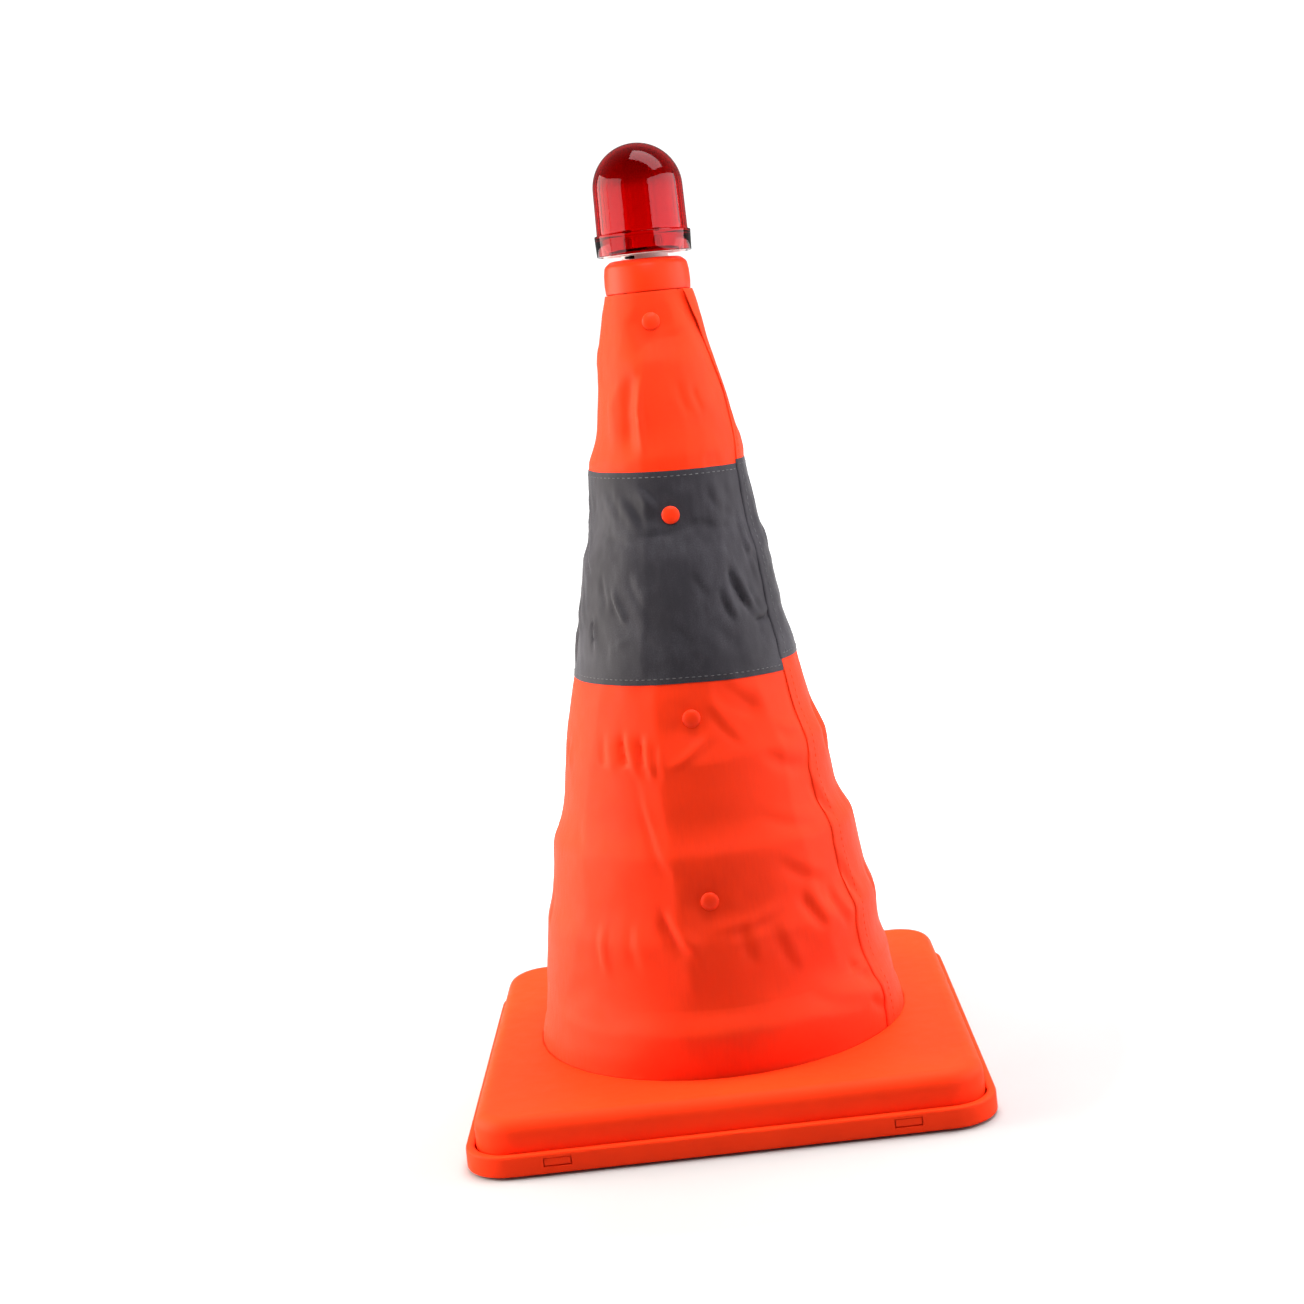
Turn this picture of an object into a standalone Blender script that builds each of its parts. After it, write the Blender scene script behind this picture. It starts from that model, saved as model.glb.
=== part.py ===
"""Collapsible traffic cone with a battery beacon.

A square two-part base holds a fixed collar. Eight conical rings telescope out
of the collar, each one caught by the inward lip of the ring below it. A fabric
sleeve with a grey reflective band covers the rings and is pinned to every
second ring by snap rivets. A round cap closes the top ring and holds a
plug-in red beacon with its own batteries, board and slide switch.

Metres, +Z up, origin at the centre of the base's underside, -Y is the front.
"""

import math

import bmesh
import bpy
from mathutils import Matrix, Vector

MM = 0.001
SEG = 32            # sides of the large turned pieces, shared so that they nest
GAP = 0.35          # running gap between turned pieces, mm

# ---- base, mm
RIM_HALF = 125.0    # half of the tray's side
RIM_CORNER = 22.7
FOOT_STAND = 0.8    # the rubber pads lift the tray this much
RIM_TOP = 10.5
FLOOR_T = 2.4
RIM_WALL = 2.4
LEDGE_T = 1.5
COVER_HALF = 120.3
COVER_CORNER = 21.0
COVER_TOP = 25.5
COVER_T = 2.2
SHOULDER_R = 6.5
OPENING_R = 94.6    # round opening in the cover
WINDOW_AT = 81.0    # snap windows, from the middle of each side
WINDOW_W = 13.0
FOOT_AT = 98.0
FOOT_R = 8.0

# ---- telescoping stack, mm
COLLAR_TOP = 57.0
COLLAR_R_TOP = 86.8
COLLAR_R_LOW = 91.3
WALL = 1.5
LIP_H = 2.5
FLANGE_H = 2.2
CAP_BOTTOM = 397.8
# ring: top height, outer radius at the top, draft, height of its rivets or None
RINGS = (
    (88.0, 82.6, 0.04, None),
    (128.0, 74.9, 0.12, 106.9),
    (172.0, 65.0, 0.12, None),
    (220.0, 53.4, 0.16, 191.9),
    (268.0, 44.6, 0.10, None),
    (316.0, 37.6, 0.07, 289.1),
    (364.0, 27.8, 0.10, None),
    (CAP_BOTTOM, 20.5, 0.09, 383.0),
)
RIVET_HEAD_R = 4.4
RIVET_HEAD_T = 1.3
RIVET_SHANK_R = 1.6
FABRIC_T = 0.7
BAND_T = 0.4
BAND_Z = (209.8, 309.6)

# ---- cap and beacon, mm
CAP_TOP = 414.2
CAP_R = 21.2
CAP_BORE_R = 12.1
NECK_R = 11.65
NECK_BOTTOM = 355.6
LENS_BOTTOM = 416.6
LENS_FLANGE_TOP = 426.7
LENS_FLANGE_R = 24.0
LENS_R = 22.7
LENS_TOP = 471.4
LENS_WALL = 1.7
CELL_R = 5.2
CELL_L = 44.5
SWITCH_ANGLE = -32.0  # degrees from the front, towards -X


# ------------------------------------------------------------------ helpers
def clear_scene():
    for obj in list(bpy.data.objects):
        bpy.data.objects.remove(obj, do_unlink=True)


def material(name, colour, rough, metal=0.0, alpha=1.0):
    mat = bpy.data.materials.new(name)
    mat.use_nodes = True
    bsdf = mat.node_tree.nodes["Principled BSDF"]
    bsdf.inputs["Base Color"].default_value = (*colour, 1.0)
    bsdf.inputs["Roughness"].default_value = rough
    bsdf.inputs["Metallic"].default_value = metal
    if alpha < 1.0:
        bsdf.inputs["Alpha"].default_value = alpha
    mat.diffuse_color = (*colour, alpha)
    return mat


COLOURS = {
    "orange_plastic": ((1.0, 0.085, 0.02), 0.45, 0.0, 1.0),
    "orange_fabric": ((1.0, 0.055, 0.012), 0.75, 0.0, 1.0),
    "grey_band": ((0.09, 0.085, 0.09), 0.6, 0.0, 1.0),
    "ring_plastic": ((0.75, 0.06, 0.02), 0.5, 0.0, 1.0),
    "black_rubber": ((0.02, 0.02, 0.02), 0.8, 0.0, 1.0),
    "steel": ((0.6, 0.6, 0.6), 0.3, 1.0, 1.0),
    "brass": ((0.75, 0.55, 0.25), 0.35, 1.0, 1.0),
    "red_lens": ((0.65, 0.0, 0.0), 0.08, 0.0, 0.5),
    "pale_plastic": ((0.85, 0.78, 0.76), 0.5, 0.0, 1.0),
    "board_green": ((0.02, 0.2, 0.06), 0.5, 0.0, 1.0),
    "led_clear": ((0.9, 0.25, 0.2), 0.1, 0.0, 1.0),
    "cell_jacket": ((0.08, 0.09, 0.11), 0.35, 0.0, 1.0),
    "black_plastic": ((0.015, 0.015, 0.015), 0.4, 0.0, 1.0),
}


def finish(name, bm, finish_name, origin=(0, 0, 0)):
    """Writes the mesh to an object, with its origin at a point in millimetres."""
    bmesh.ops.recalc_face_normals(bm, faces=bm.faces)
    shift = Matrix.Translation(-Vector(origin))
    bmesh.ops.transform(bm, matrix=Matrix.Scale(MM, 4) @ shift, verts=bm.verts)
    mesh = bpy.data.meshes.new(name)
    bm.to_mesh(mesh)
    bm.free()
    mesh.shade_smooth()
    mesh.set_sharp_from_angle(angle=math.radians(35))
    obj = bpy.data.objects.new(name, mesh)
    obj.location = Vector(origin) * MM
    mesh.materials.append(material(name, *COLOURS[finish_name]))
    bpy.context.scene.collection.objects.link(obj)
    return obj


def turned(profile, seg=SEG, centre=(0.0, 0.0), turn=0.0):
    """A closed profile of (radius, height) points turned round a vertical axis.

    The profile is an outline when no point is on the axis, and an open line
    from axis to axis when its first and last points are on it.
    """
    bm = bmesh.new()
    capped = profile[0][0] < 1e-9
    loops = []
    for r, z in profile:
        if r < 1e-9:
            loops.append([bm.verts.new((centre[0], centre[1], z))])
            continue
        ring = []
        for i in range(seg):
            a = 2 * math.pi * i / seg + turn
            ring.append(bm.verts.new((centre[0] + r * math.cos(a), centre[1] + r * math.sin(a), z)))
        loops.append(ring)
    pairs = list(zip(loops, loops[1:])) if capped else list(zip(loops, loops[1:] + loops[:1]))
    for low, high in pairs:
        for i in range(seg):
            j = (i + 1) % seg
            corners = []
            for vert in (low[i % len(low)], low[j % len(low)], high[j % len(high)], high[i % len(high)]):
                if vert not in corners:
                    corners.append(vert)
            bm.faces.new(corners)
    return bm


def square_loop(half, corner, z, n=9):
    """Points round a square with round corners, n on each corner's quarter."""
    points = []
    for q in range(4):
        turn = q * math.pi / 2
        for k in range(n):
            a = math.pi / 2 * k / (n - 1)
            x = half - corner + corner * math.cos(a)
            y = half - corner + corner * math.sin(a)
            c, s = math.cos(turn), math.sin(turn)
            points.append((c * x - s * y, s * x + c * y, z))
    return points


def round_loop(radius, z, n=9):
    """As many points as square_loop, on a circle, in the same order."""
    points = []
    total = 4 * n
    for i in range(total):
        a = 2 * math.pi * (i + 0.5) / total
        points.append((radius * math.cos(a), radius * math.sin(a), z))
    return points


def lofted(loops, close):
    """Skins loops of equal length, closing them into a shell or capping the ends."""
    bm = bmesh.new()
    rows = [[bm.verts.new(p) for p in loop] for loop in loops]
    pairs = list(zip(rows, rows[1:] + rows[:1])) if close else list(zip(rows, rows[1:]))
    for low, high in pairs:
        n = len(low)
        for i in range(n):
            j = (i + 1) % n
            bm.faces.new((low[i], low[j], high[j], high[i]))
    if not close:
        bm.faces.new(rows[0])
        bm.faces.new(rows[-1])
    return bm


def block(low, high):
    bm = bmesh.new()
    bmesh.ops.create_cube(bm, size=1.0)
    size = [h - l for l, h in zip(low, high)]
    mid = [(h + l) / 2 for l, h in zip(low, high)]
    bmesh.ops.transform(bm, matrix=Matrix.Translation(mid) @ Matrix.Diagonal((*size, 1.0)), verts=bm.verts)
    return bm


def merged(parts):
    """Several shapes in one mesh, for cutters."""
    bm = bmesh.new()
    for part in parts:
        mesh = bpy.data.meshes.new("join")
        part.to_mesh(mesh)
        part.free()
        bm.from_mesh(mesh)
        bpy.data.meshes.remove(mesh)
    return bm


def rotated(bm, degrees, axis="Z", centre=(0, 0, 0)):
    move = Matrix.Translation(centre) @ Matrix.Rotation(math.radians(degrees), 4, axis) @ Matrix.Translation(-Vector(centre))
    bmesh.ops.transform(bm, matrix=move, verts=bm.verts)
    return bm


def rod(radius, start, end, seg=10):
    """A plain round bar between two points."""
    start, end = Vector(start), Vector(end)
    bm = turned([(0, 0), (radius, 0), (radius, (end - start).length), (0, (end - start).length)], seg)
    turn = Vector((0, 0, 1)).rotation_difference(end - start).to_matrix().to_4x4()
    bmesh.ops.transform(bm, matrix=Matrix.Translation(start) @ turn, verts=bm.verts)
    return bm


def combine(obj, bm, operation):
    """Cuts or joins a helper shape, given in millimetres, with a Boolean."""
    bmesh.ops.recalc_face_normals(bm, faces=bm.faces)
    bmesh.ops.transform(bm, matrix=Matrix.Scale(MM, 4), verts=bm.verts)
    mesh = bpy.data.meshes.new(obj.name + "_tool")
    bm.to_mesh(mesh)
    bm.free()
    tool = bpy.data.objects.new(obj.name + "_tool", mesh)
    tool.hide_render = True
    tool.display_type = "WIRE"
    bpy.context.scene.collection.objects.link(tool)
    mod = obj.modifiers.new(operation.title(), "BOOLEAN")
    mod.operation = operation
    mod.solver = "EXACT"
    mod.object = tool
    return tool


# ------------------------------------------------------------------ the stack's rule
def collar_radius(z):
    if z <= COVER_TOP:
        return COLLAR_R_LOW
    share = (z - COVER_TOP) / (COLLAR_TOP - COVER_TOP)
    return COLLAR_R_LOW + share * (COLLAR_R_TOP - COLLAR_R_LOW)


def wall_radius(k, z):
    """Outer radius of ring k's wall; ring -1 is the collar."""
    if k < 0:
        return collar_radius(z)
    top, r_top, draft, _ = RINGS[k]
    return r_top + draft * (top - z)


def top_of(k):
    return COLLAR_TOP if k < 0 else RINGS[k][0]


def bottom_of(k):
    return top_of(k - 1) - LIP_H - 0.3 - FLANGE_H


def lip_radius(k):
    """Inner radius of ring k's lip: it clears the next ring's wall and rivet heads."""
    child = k + 1
    room = wall_radius(child, top_of(k)) + 0.5
    rivet = RINGS[child][3]
    if rivet is not None:
        proud = 0.3 + FABRIC_T + 0.3 + RIVET_HEAD_T
        if BAND_Z[0] < rivet < BAND_Z[1]:
            proud += 0.3 + BAND_T
        room = max(room, wall_radius(child, rivet) + proud + 0.3)
    return room


def flange_radius(k):
    """Outer radius of ring k's bottom flange: it runs inside the ring below."""
    return wall_radius(k - 1, top_of(k - 1) - LIP_H) - WALL - GAP


def fabric_line(offset):
    """Height and radius of the sleeve's inner face, from the base to the cap."""
    points = [(collar_radius(20.0) + offset, 8.0), (collar_radius(20.0) + offset, COVER_TOP),
              (COLLAR_R_TOP + offset, COLLAR_TOP)]
    for k in range(len(RINGS)):
        low, high = top_of(k - 1), top_of(k)
        kink = low + 0.45 * (high - low)
        points.append((wall_radius(k, kink) + offset, kink))
        points.append((wall_radius(k, high) + offset, high))
    return points


def line_radius(points, z):
    for (r0, z0), (r1, z1) in zip(points, points[1:]):
        if z0 <= z <= z1 and z1 > z0:
            return r0 + (r1 - r0) * (z - z0) / (z1 - z0)
    return points[-1][0]


def line_between(points, low, high):
    inside = [(r, z) for r, z in points if low + 0.5 < z < high - 0.5]
    return [(line_radius(points, low), low)] + inside + [(line_radius(points, high), high)]


# ------------------------------------------------------------------ base
def make_base():
    z0 = FOOT_STAND
    inner = RIM_HALF - RIM_WALL
    ledge = COVER_HALF + 0.4
    tray = lofted(
        [
            square_loop(RIM_HALF - 0.7, RIM_CORNER - 0.7, z0),
            square_loop(RIM_HALF, RIM_CORNER, z0 + 0.7),
            square_loop(RIM_HALF, RIM_CORNER, RIM_TOP - 0.6),
            square_loop(RIM_HALF - 0.6, RIM_CORNER - 0.6, RIM_TOP),
            square_loop(ledge, COVER_CORNER + 0.4, RIM_TOP),
            square_loop(ledge, COVER_CORNER + 0.4, RIM_TOP - LEDGE_T),
            square_loop(inner, RIM_CORNER - RIM_WALL, RIM_TOP - LEDGE_T),
            square_loop(inner, RIM_CORNER - RIM_WALL, z0 + FLOOR_T),
        ],
        close=False,
    )
    tray = finish("base_tray", tray, "orange_plastic")
    windows, tabs = [], []
    for q in range(4):
        for side in (-1, 1):
            x = side * WINDOW_AT
            windows.append(rotated(block((x - WINDOW_W / 2, -RIM_HALF - 2, 4.2), (x + WINDOW_W / 2, -inner + 1, 8.4)), 90 * q))
            tabs.append(rotated(block((x - WINDOW_W / 2 + 0.5, -RIM_HALF + 0.7, 4.9), (x + WINDOW_W / 2 - 0.5, -COVER_HALF + 0.8, 7.9)), 90 * q))
    combine(tray, merged(windows), "DIFFERENCE")
    holes = []
    for sx in (-1, 1):
        for sy in (-1, 1):
            holes.append(turned([(0, -2), (FOOT_R + 0.3, -2), (FOOT_R + 0.3, 2.0), (0, 2.0)], 16, (sx * FOOT_AT, sy * FOOT_AT)))
            pad = turned([(0, 0), (FOOT_R - 0.6, 0), (FOOT_R, 0.6), (FOOT_R, 1.7), (0, 1.7)], 16, (sx * FOOT_AT, sy * FOOT_AT))
            finish("foot_pad_" + ("front" if sy < 0 else "back") + ("_left" if sx < 0 else "_right"), pad, "black_rubber")
    for x, y in SCREW_PLACES:
        holes.append(turned([(0, -2), (3.4, -2), (3.4, 2.2), (1.8, 2.2), (1.8, 6), (0, 6)], 12, (x, y)))
    combine(tray, merged(holes), "DIFFERENCE")

    r = SHOULDER_R
    loops = [square_loop(COVER_HALF, COVER_CORNER, 4.0), square_loop(COVER_HALF, COVER_CORNER, COVER_TOP - r)]
    for a in (30, 60, 90):
        s, c = math.sin(math.radians(a)), math.cos(math.radians(a))
        loops.append(square_loop(COVER_HALF - r * (1 - c), COVER_CORNER - r * (1 - c), COVER_TOP - r + r * s))
    loops += [
        round_loop(OPENING_R, COVER_TOP),
        round_loop(OPENING_R, 14.5),
        round_loop(OPENING_R + 1.8, 14.5),
        round_loop(OPENING_R + 1.8, COVER_TOP - COVER_T),
        square_loop(COVER_HALF - r, COVER_CORNER - r, COVER_TOP - COVER_T),
        square_loop(COVER_HALF - COVER_T, COVER_CORNER - COVER_T, COVER_TOP - r),
        square_loop(COVER_HALF - COVER_T, COVER_CORNER - COVER_T, 4.0),
    ]
    cover = finish("base_cover", lofted(loops, close=True), "orange_plastic")
    combine(cover, merged(tabs), "UNION")


SCREW_PLACES = [(101.0 * math.cos(math.radians(a)), 101.0 * math.sin(math.radians(a))) for a in (45, 135, 225, 315)]


def make_collar():
    lip = lip_radius(-1)
    foot = FOOT_STAND + FLOOR_T + 0.3
    outline = [
        (COLLAR_R_LOW - WALL, foot),
        (97.5, foot),
        (97.5, foot + 2.0),
        (COLLAR_R_LOW, foot + 2.0),
        (COLLAR_R_LOW, COVER_TOP),
        (COLLAR_R_TOP, COLLAR_TOP - 0.5),
        (COLLAR_R_TOP - 0.5, COLLAR_TOP),
        (lip, COLLAR_TOP),
        (lip, COLLAR_TOP - LIP_H),
        (wall_radius(-1, COLLAR_TOP - LIP_H) - WALL, COLLAR_TOP - LIP_H),
        (COLLAR_R_LOW - WALL, COVER_TOP),
    ]
    collar = finish("base_collar", turned(outline), "ring_plastic")
    combine(collar, merged([turned([(0, foot), (4.6, foot), (4.6, 12.5), (0, 12.5)], 12, p) for p in SCREW_PLACES]), "UNION")
    combine(collar, merged([turned([(0, foot - 2), (1.7, foot - 2), (1.7, 11.3), (0, 11.3)], 10, p) for p in SCREW_PLACES]), "DIFFERENCE")
    for i, (x, y) in enumerate(SCREW_PLACES, 1):
        screw = turned([(0, 1.0), (2.7, 1.0), (3.1, 1.4), (3.1, 1.9), (1.4, 1.9), (1.4, 10.4), (0.4, 11.0), (0, 11.0)], 10, (x, y))
        finish(f"collar_screw_{i}", screw, "steel")
    inside = collar_radius(10) + 0.35 + FABRIC_T + 0.3
    ring = [(inside, 7.0), (inside + 1.9, 7.0), (inside + 1.9, 13.0), (inside, 13.0)]
    finish("fabric_clamp_ring", turned(ring), "ring_plastic")


# ------------------------------------------------------------------ rings
def make_rings():
    count = len(RINGS)
    for k, (top, r_top, draft, rivet) in enumerate(RINGS):
        low = bottom_of(k)
        flange = flange_radius(k)
        inner_low = wall_radius(k, low) - WALL
        outline = [
            (inner_low, low),
            (flange, low),
            (flange, low + FLANGE_H),
            (wall_radius(k, low + FLANGE_H), low + FLANGE_H),
        ]
        if k < count - 1:
            lip = lip_radius(k)
            outline += [
                (r_top, top - 0.4),
                (r_top - 0.4, top),
                (lip, top),
                (lip, top - LIP_H),
                (wall_radius(k, top - LIP_H) - WALL, top - LIP_H),
            ]
        else:
            # the top ring ends in a spigot inside the cap
            outline += [(r_top, top - 0.4), (18.9, top - 0.4), (18.9, CAP_TOP - 2.7), (17.4, CAP_TOP - 2.7), (17.4, top - 3.0), (wall_radius(k, top - 5.0) - WALL, top - 5.0)]
        ring = finish(f"ring_section_{k + 1}", turned(outline), "ring_plastic")
        cuts = []
        if rivet is not None:
            for side in (-1, 1):
                cuts.append(rod(RIVET_SHANK_R + 0.3, (0, side * (wall_radius(k, rivet) - 6), rivet), (0, side * (wall_radius(k, rivet) + 4), rivet)))
        if k > 0 and RINGS[k - 1][3] is not None:
            # notches let the flange pass the inner ends of the rivets below
            deep = wall_radius(k - 1, RINGS[k - 1][3]) - WALL - 3.2
            for side in (-1, 1):
                far = flange + 3
                cuts.append(block((-5.5, min(side * deep, side * far), low - 1), (5.5, max(side * deep, side * far), low + FLANGE_H + 0.01)))
        if cuts:
            combine(ring, merged(cuts), "DIFFERENCE")


def rivet_shape(direction, radius, z, parts):
    """Turns parts given along +Z to point outwards along Y at this height."""
    for bm in parts:
        move = Matrix.Translation((0, direction * radius, z)) @ Matrix.Rotation(math.radians(-90 * direction), 4, "X")
        bmesh.ops.transform(bm, matrix=move, verts=bm.verts)
    return parts


def make_rivets():
    for k, (_, _, _, rivet) in enumerate(RINGS):
        if rivet is None:
            continue
        wall = wall_radius(k, rivet)
        seat = 0.35 + FABRIC_T + 0.3
        if BAND_Z[0] < rivet < BAND_Z[1]:
            seat += 0.3 + BAND_T
        for direction, word in ((-1, "front"), (1, "back")):
            head = turned(
                [(0, -WALL - 2.4), (RIVET_SHANK_R - 0.3, -WALL - 2.4), (RIVET_SHANK_R - 0.3, seat), (RIVET_HEAD_R, seat),
                 (RIVET_HEAD_R, seat + 0.5), (RIVET_HEAD_R * 0.72, seat + RIVET_HEAD_T * 0.85), (0, seat + RIVET_HEAD_T)], 10)
            keeper = turned([(RIVET_SHANK_R, -WALL - 2.3), (RIVET_SHANK_R + 1.2, -WALL - 2.3), (RIVET_SHANK_R + 1.6, -WALL - 0.9), (RIVET_SHANK_R, -WALL - 0.9)], 10)
            rivet_shape(direction, wall, rivet, [head, keeper])
            finish(f"rivet_{word}_{k + 1}", head, "orange_plastic")
            finish(f"rivet_keeper_{word}_{k + 1}", keeper, "ring_plastic")


# ------------------------------------------------------------------ fabric
def make_fabric():
    inner = fabric_line(0.35)
    outer = fabric_line(0.35 + FABRIC_T)
    outer_skin = [(r, z) for r, z in outer]
    skirt_in = line_between(inner, 8.0, COLLAR_TOP)
    skirt_out = line_between(outer_skin, 8.0, COLLAR_TOP)
    finish("fabric_skirt", turned(skirt_out + skirt_in[::-1]), "orange_fabric")
    low = COLLAR_TOP + 0.3
    high = CAP_BOTTOM - 0.4
    sleeve_in = line_between(inner, low, high)
    sleeve_out = line_between(outer_skin, low, high)
    sleeve = finish("fabric_sleeve", turned(sleeve_out + sleeve_in[::-1]), "orange_fabric")
    band_in = line_between(fabric_line(0.35 + FABRIC_T + 0.3), *BAND_Z)
    band_out = line_between(fabric_line(0.35 + FABRIC_T + 0.3 + BAND_T), *BAND_Z)
    band = finish("reflective_band", turned(band_out + band_in[::-1]), "grey_band")
    for obj in (sleeve, band):
        cuts = []
        for k, (_, _, _, rivet) in enumerate(RINGS):
            if rivet is None or (obj is band and not BAND_Z[0] < rivet < BAND_Z[1]):
                continue
            for side in (-1, 1):
                cuts.append(rod(RIVET_HEAD_R + 0.6, (0, side * (wall_radius(k, rivet) - 3), rivet), (0, side * (wall_radius(k, rivet) + 7), rivet), 10))
        combine(obj, merged(cuts), "DIFFERENCE")


# ------------------------------------------------------------------ cap and beacon
def make_cap():
    outline = [
        (19.3, CAP_BOTTOM), (CAP_R, CAP_BOTTOM), (CAP_R + 0.2, CAP_BOTTOM + 5), (CAP_R - 0.3, CAP_TOP - 4.2),
        (CAP_R - 1.4, CAP_TOP - 1.3), (CAP_R - 3.6, CAP_TOP), (CAP_BORE_R, CAP_TOP), (CAP_BORE_R, CAP_BOTTOM - 12),
        (CAP_BORE_R + 1.4, CAP_BOTTOM - 12), (CAP_BORE_R + 1.4, CAP_TOP - 2.2), (19.3, CAP_TOP - 2.2),
    ]
    finish("top_cap", turned(outline, 24), "orange_plastic")


def make_beacon():
    wall = LENS_WALL
    straight = LENS_TOP - LENS_R + 0.4
    outside = [(LENS_FLANGE_R - 0.5, LENS_BOTTOM), (LENS_FLANGE_R, LENS_FLANGE_TOP), (LENS_R, LENS_FLANGE_TOP)]
    inside = [(LENS_R - 1.4, LENS_BOTTOM), (LENS_R - wall, LENS_FLANGE_TOP)]
    top_r = LENS_R - 0.4
    for a in (0, 22, 44, 66):
        c, s = math.cos(math.radians(a)), math.sin(math.radians(a))
        outside.append((top_r * c, straight + (LENS_TOP - straight) * s))
        inside.append(((top_r - wall) * c, straight + (LENS_TOP - wall - straight) * s))
    lens = [(0, LENS_TOP)] + outside[::-1] + inside + [(0, LENS_TOP - wall)]
    finish("beacon_lens", turned(lens, 24), "red_lens")

    # chassis: a disc with a skirt under the lens and the neck that holds the cells
    hole = CELL_R * 2 + 0.35
    body = [
        (hole, NECK_BOTTOM), (NECK_R, NECK_BOTTOM), (NECK_R, LENS_BOTTOM - 0.2),
        (21.0, LENS_BOTTOM - 0.2), (21.0, LENS_BOTTOM + 1.6), (hole, LENS_BOTTOM + 1.6),
    ]
    chassis = finish("beacon_chassis", turned(body, 24), "pale_plastic")
    place = Vector((0, -1, 0))
    place.rotate(Matrix.Rotation(math.radians(SWITCH_ANGLE), 3, "Z"))
    slot = rotated(block((-3.4, -NECK_R - 2, CAP_TOP - 0.4), (3.4, -NECK_R + 2.5, CAP_TOP + 2.0)), SWITCH_ANGLE)
    combine(chassis, slot, "DIFFERENCE")

    board_z = LENS_BOTTOM + 1.9
    finish("led_board", turned([(0, board_z), (20.2, board_z), (20.2, board_z + 1.2), (0, board_z + 1.2)], 20), "board_green")
    for i in range(4):
        a = math.radians(45 + 90 * i)
        led = turned([(0, board_z + 1.5), (2.9, board_z + 1.5), (2.9, board_z + 2.5), (2.5, board_z + 2.5), (2.5, board_z + 7.0), (1.6, board_z + 9.0), (0, board_z + 9.6)],
                     10, (10.5 * math.cos(a), 10.5 * math.sin(a)))
        finish(f"led_{i + 1}", led, "led_clear")

    for name, x, low in (("battery_left", -CELL_R - 0.1, NECK_BOTTOM + 3.6), ("battery_right", CELL_R + 0.1, NECK_BOTTOM + 2.2)):
        high = low + CELL_L
        nub = 1.0
        if x < 0:
            line = [(0, low), (CELL_R - 0.4, low), (CELL_R - 0.1, low + 0.4), (CELL_R - 0.1, high - nub - 0.4), (CELL_R - 0.6, high - nub), (1.9, high - nub), (1.9, high), (0, high)]
        else:
            line = [(0, low), (1.9, low), (1.9, low + nub), (CELL_R - 0.6, low + nub), (CELL_R - 0.1, low + nub + 0.4), (CELL_R - 0.1, high - 0.4), (CELL_R - 0.4, high), (0, high)]
        finish(name, turned(line, 14, (x, 0)), "cell_jacket")

    # contacts: a plate and a sprung plate above the cells, a sprung bridge below
    top = NECK_BOTTOM + CELL_L
    finish("contact_plate_plus", block((-CELL_R - 3.1, -2.6, top + 3.9), (-CELL_R + 2.9, 2.6, top + 4.3)), "brass")
    finish("contact_plate_minus", block((CELL_R - 2.9, -2.6, top + 6.0), (CELL_R + 3.1, 2.6, top + 6.4)), "brass")
    make_spring("contact_spring_top", CELL_R + 0.1, top + 2.5, top + 5.7)
    finish("contact_bridge", block((-CELL_R - 3, -2.2, NECK_BOTTOM + 1.4), (CELL_R + 3, 2.2, NECK_BOTTOM + 1.9)), "brass")
    make_spring("contact_spring_bottom", -CELL_R - 0.1, NECK_BOTTOM + 2.1, NECK_BOTTOM + 3.4, turns=2.0)

    # battery cover: a plug with a stepped rim that closes the neck from below
    cover = [(0, NECK_BOTTOM - 2.4), (NECK_R - 0.5, NECK_BOTTOM - 2.4), (NECK_R, NECK_BOTTOM - 1.9), (NECK_R, NECK_BOTTOM - 0.3),
             (hole - 0.4, NECK_BOTTOM - 0.3), (hole - 0.4, NECK_BOTTOM + 1.1), (0, NECK_BOTTOM + 1.1)]
    finish("battery_cover", turned(cover, 24), "pale_plastic")

    # slide switch: a body inside the neck, a lever out through its slot
    body_y = -(hole - 1.4)
    switch = rotated(block((-4.6, body_y, CAP_TOP - 2.2), (4.6, body_y + 3.4, CAP_TOP + 2.7)), SWITCH_ANGLE)
    finish("switch_body", switch, "black_plastic")
    lever = rotated(block((-1.2 - 1.0, -NECK_R - 3.4, CAP_TOP + 0.35), (1.2 - 1.0, body_y - 0.3, CAP_TOP + 1.75)), SWITCH_ANGLE)
    tip = Vector((-1.0, -NECK_R - 1.0, CAP_TOP + 1.0))
    tip.rotate(Matrix.Rotation(math.radians(SWITCH_ANGLE), 3, "Z"))
    finish("switch_lever", lever, "black_plastic", origin=tip)


def make_spring(name, x, low, high, turns=3.0, wire=0.45, radius=2.6):
    """A compression spring as a bevelled curve."""
    count = int(turns * 10)
    curve = bpy.data.curves.new(name, "CURVE")
    curve.dimensions = "3D"
    curve.bevel_depth = wire / 2 * MM
    curve.bevel_resolution = 1
    curve.use_fill_caps = True
    spline = curve.splines.new("POLY")
    spline.points.add(count)
    for i in range(count + 1):
        a = 2 * math.pi * turns * i / count
        z = low + wire / 2 + (high - low - wire) * i / count
        spline.points[i].co = ((x + radius * math.cos(a)) * MM, radius * math.sin(a) * MM, z * MM, 1)
    obj = bpy.data.objects.new(name, curve)
    curve.materials.append(material(name, *COLOURS["steel"]))
    bpy.context.scene.collection.objects.link(obj)


clear_scene()
make_base()
make_collar()
make_rings()
make_rivets()
make_fabric()
make_cap()
make_beacon()
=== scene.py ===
"""Looks of the collapsible cone with its beacon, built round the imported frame.

Lengths inside the helpers are millimetres; meshes are written in metres.
Angles on the cone are degrees from the front (-Y), growing towards +X.
"""

import math

import bmesh
import bpy
import numpy as np
from mathutils import Matrix, Vector


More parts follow.
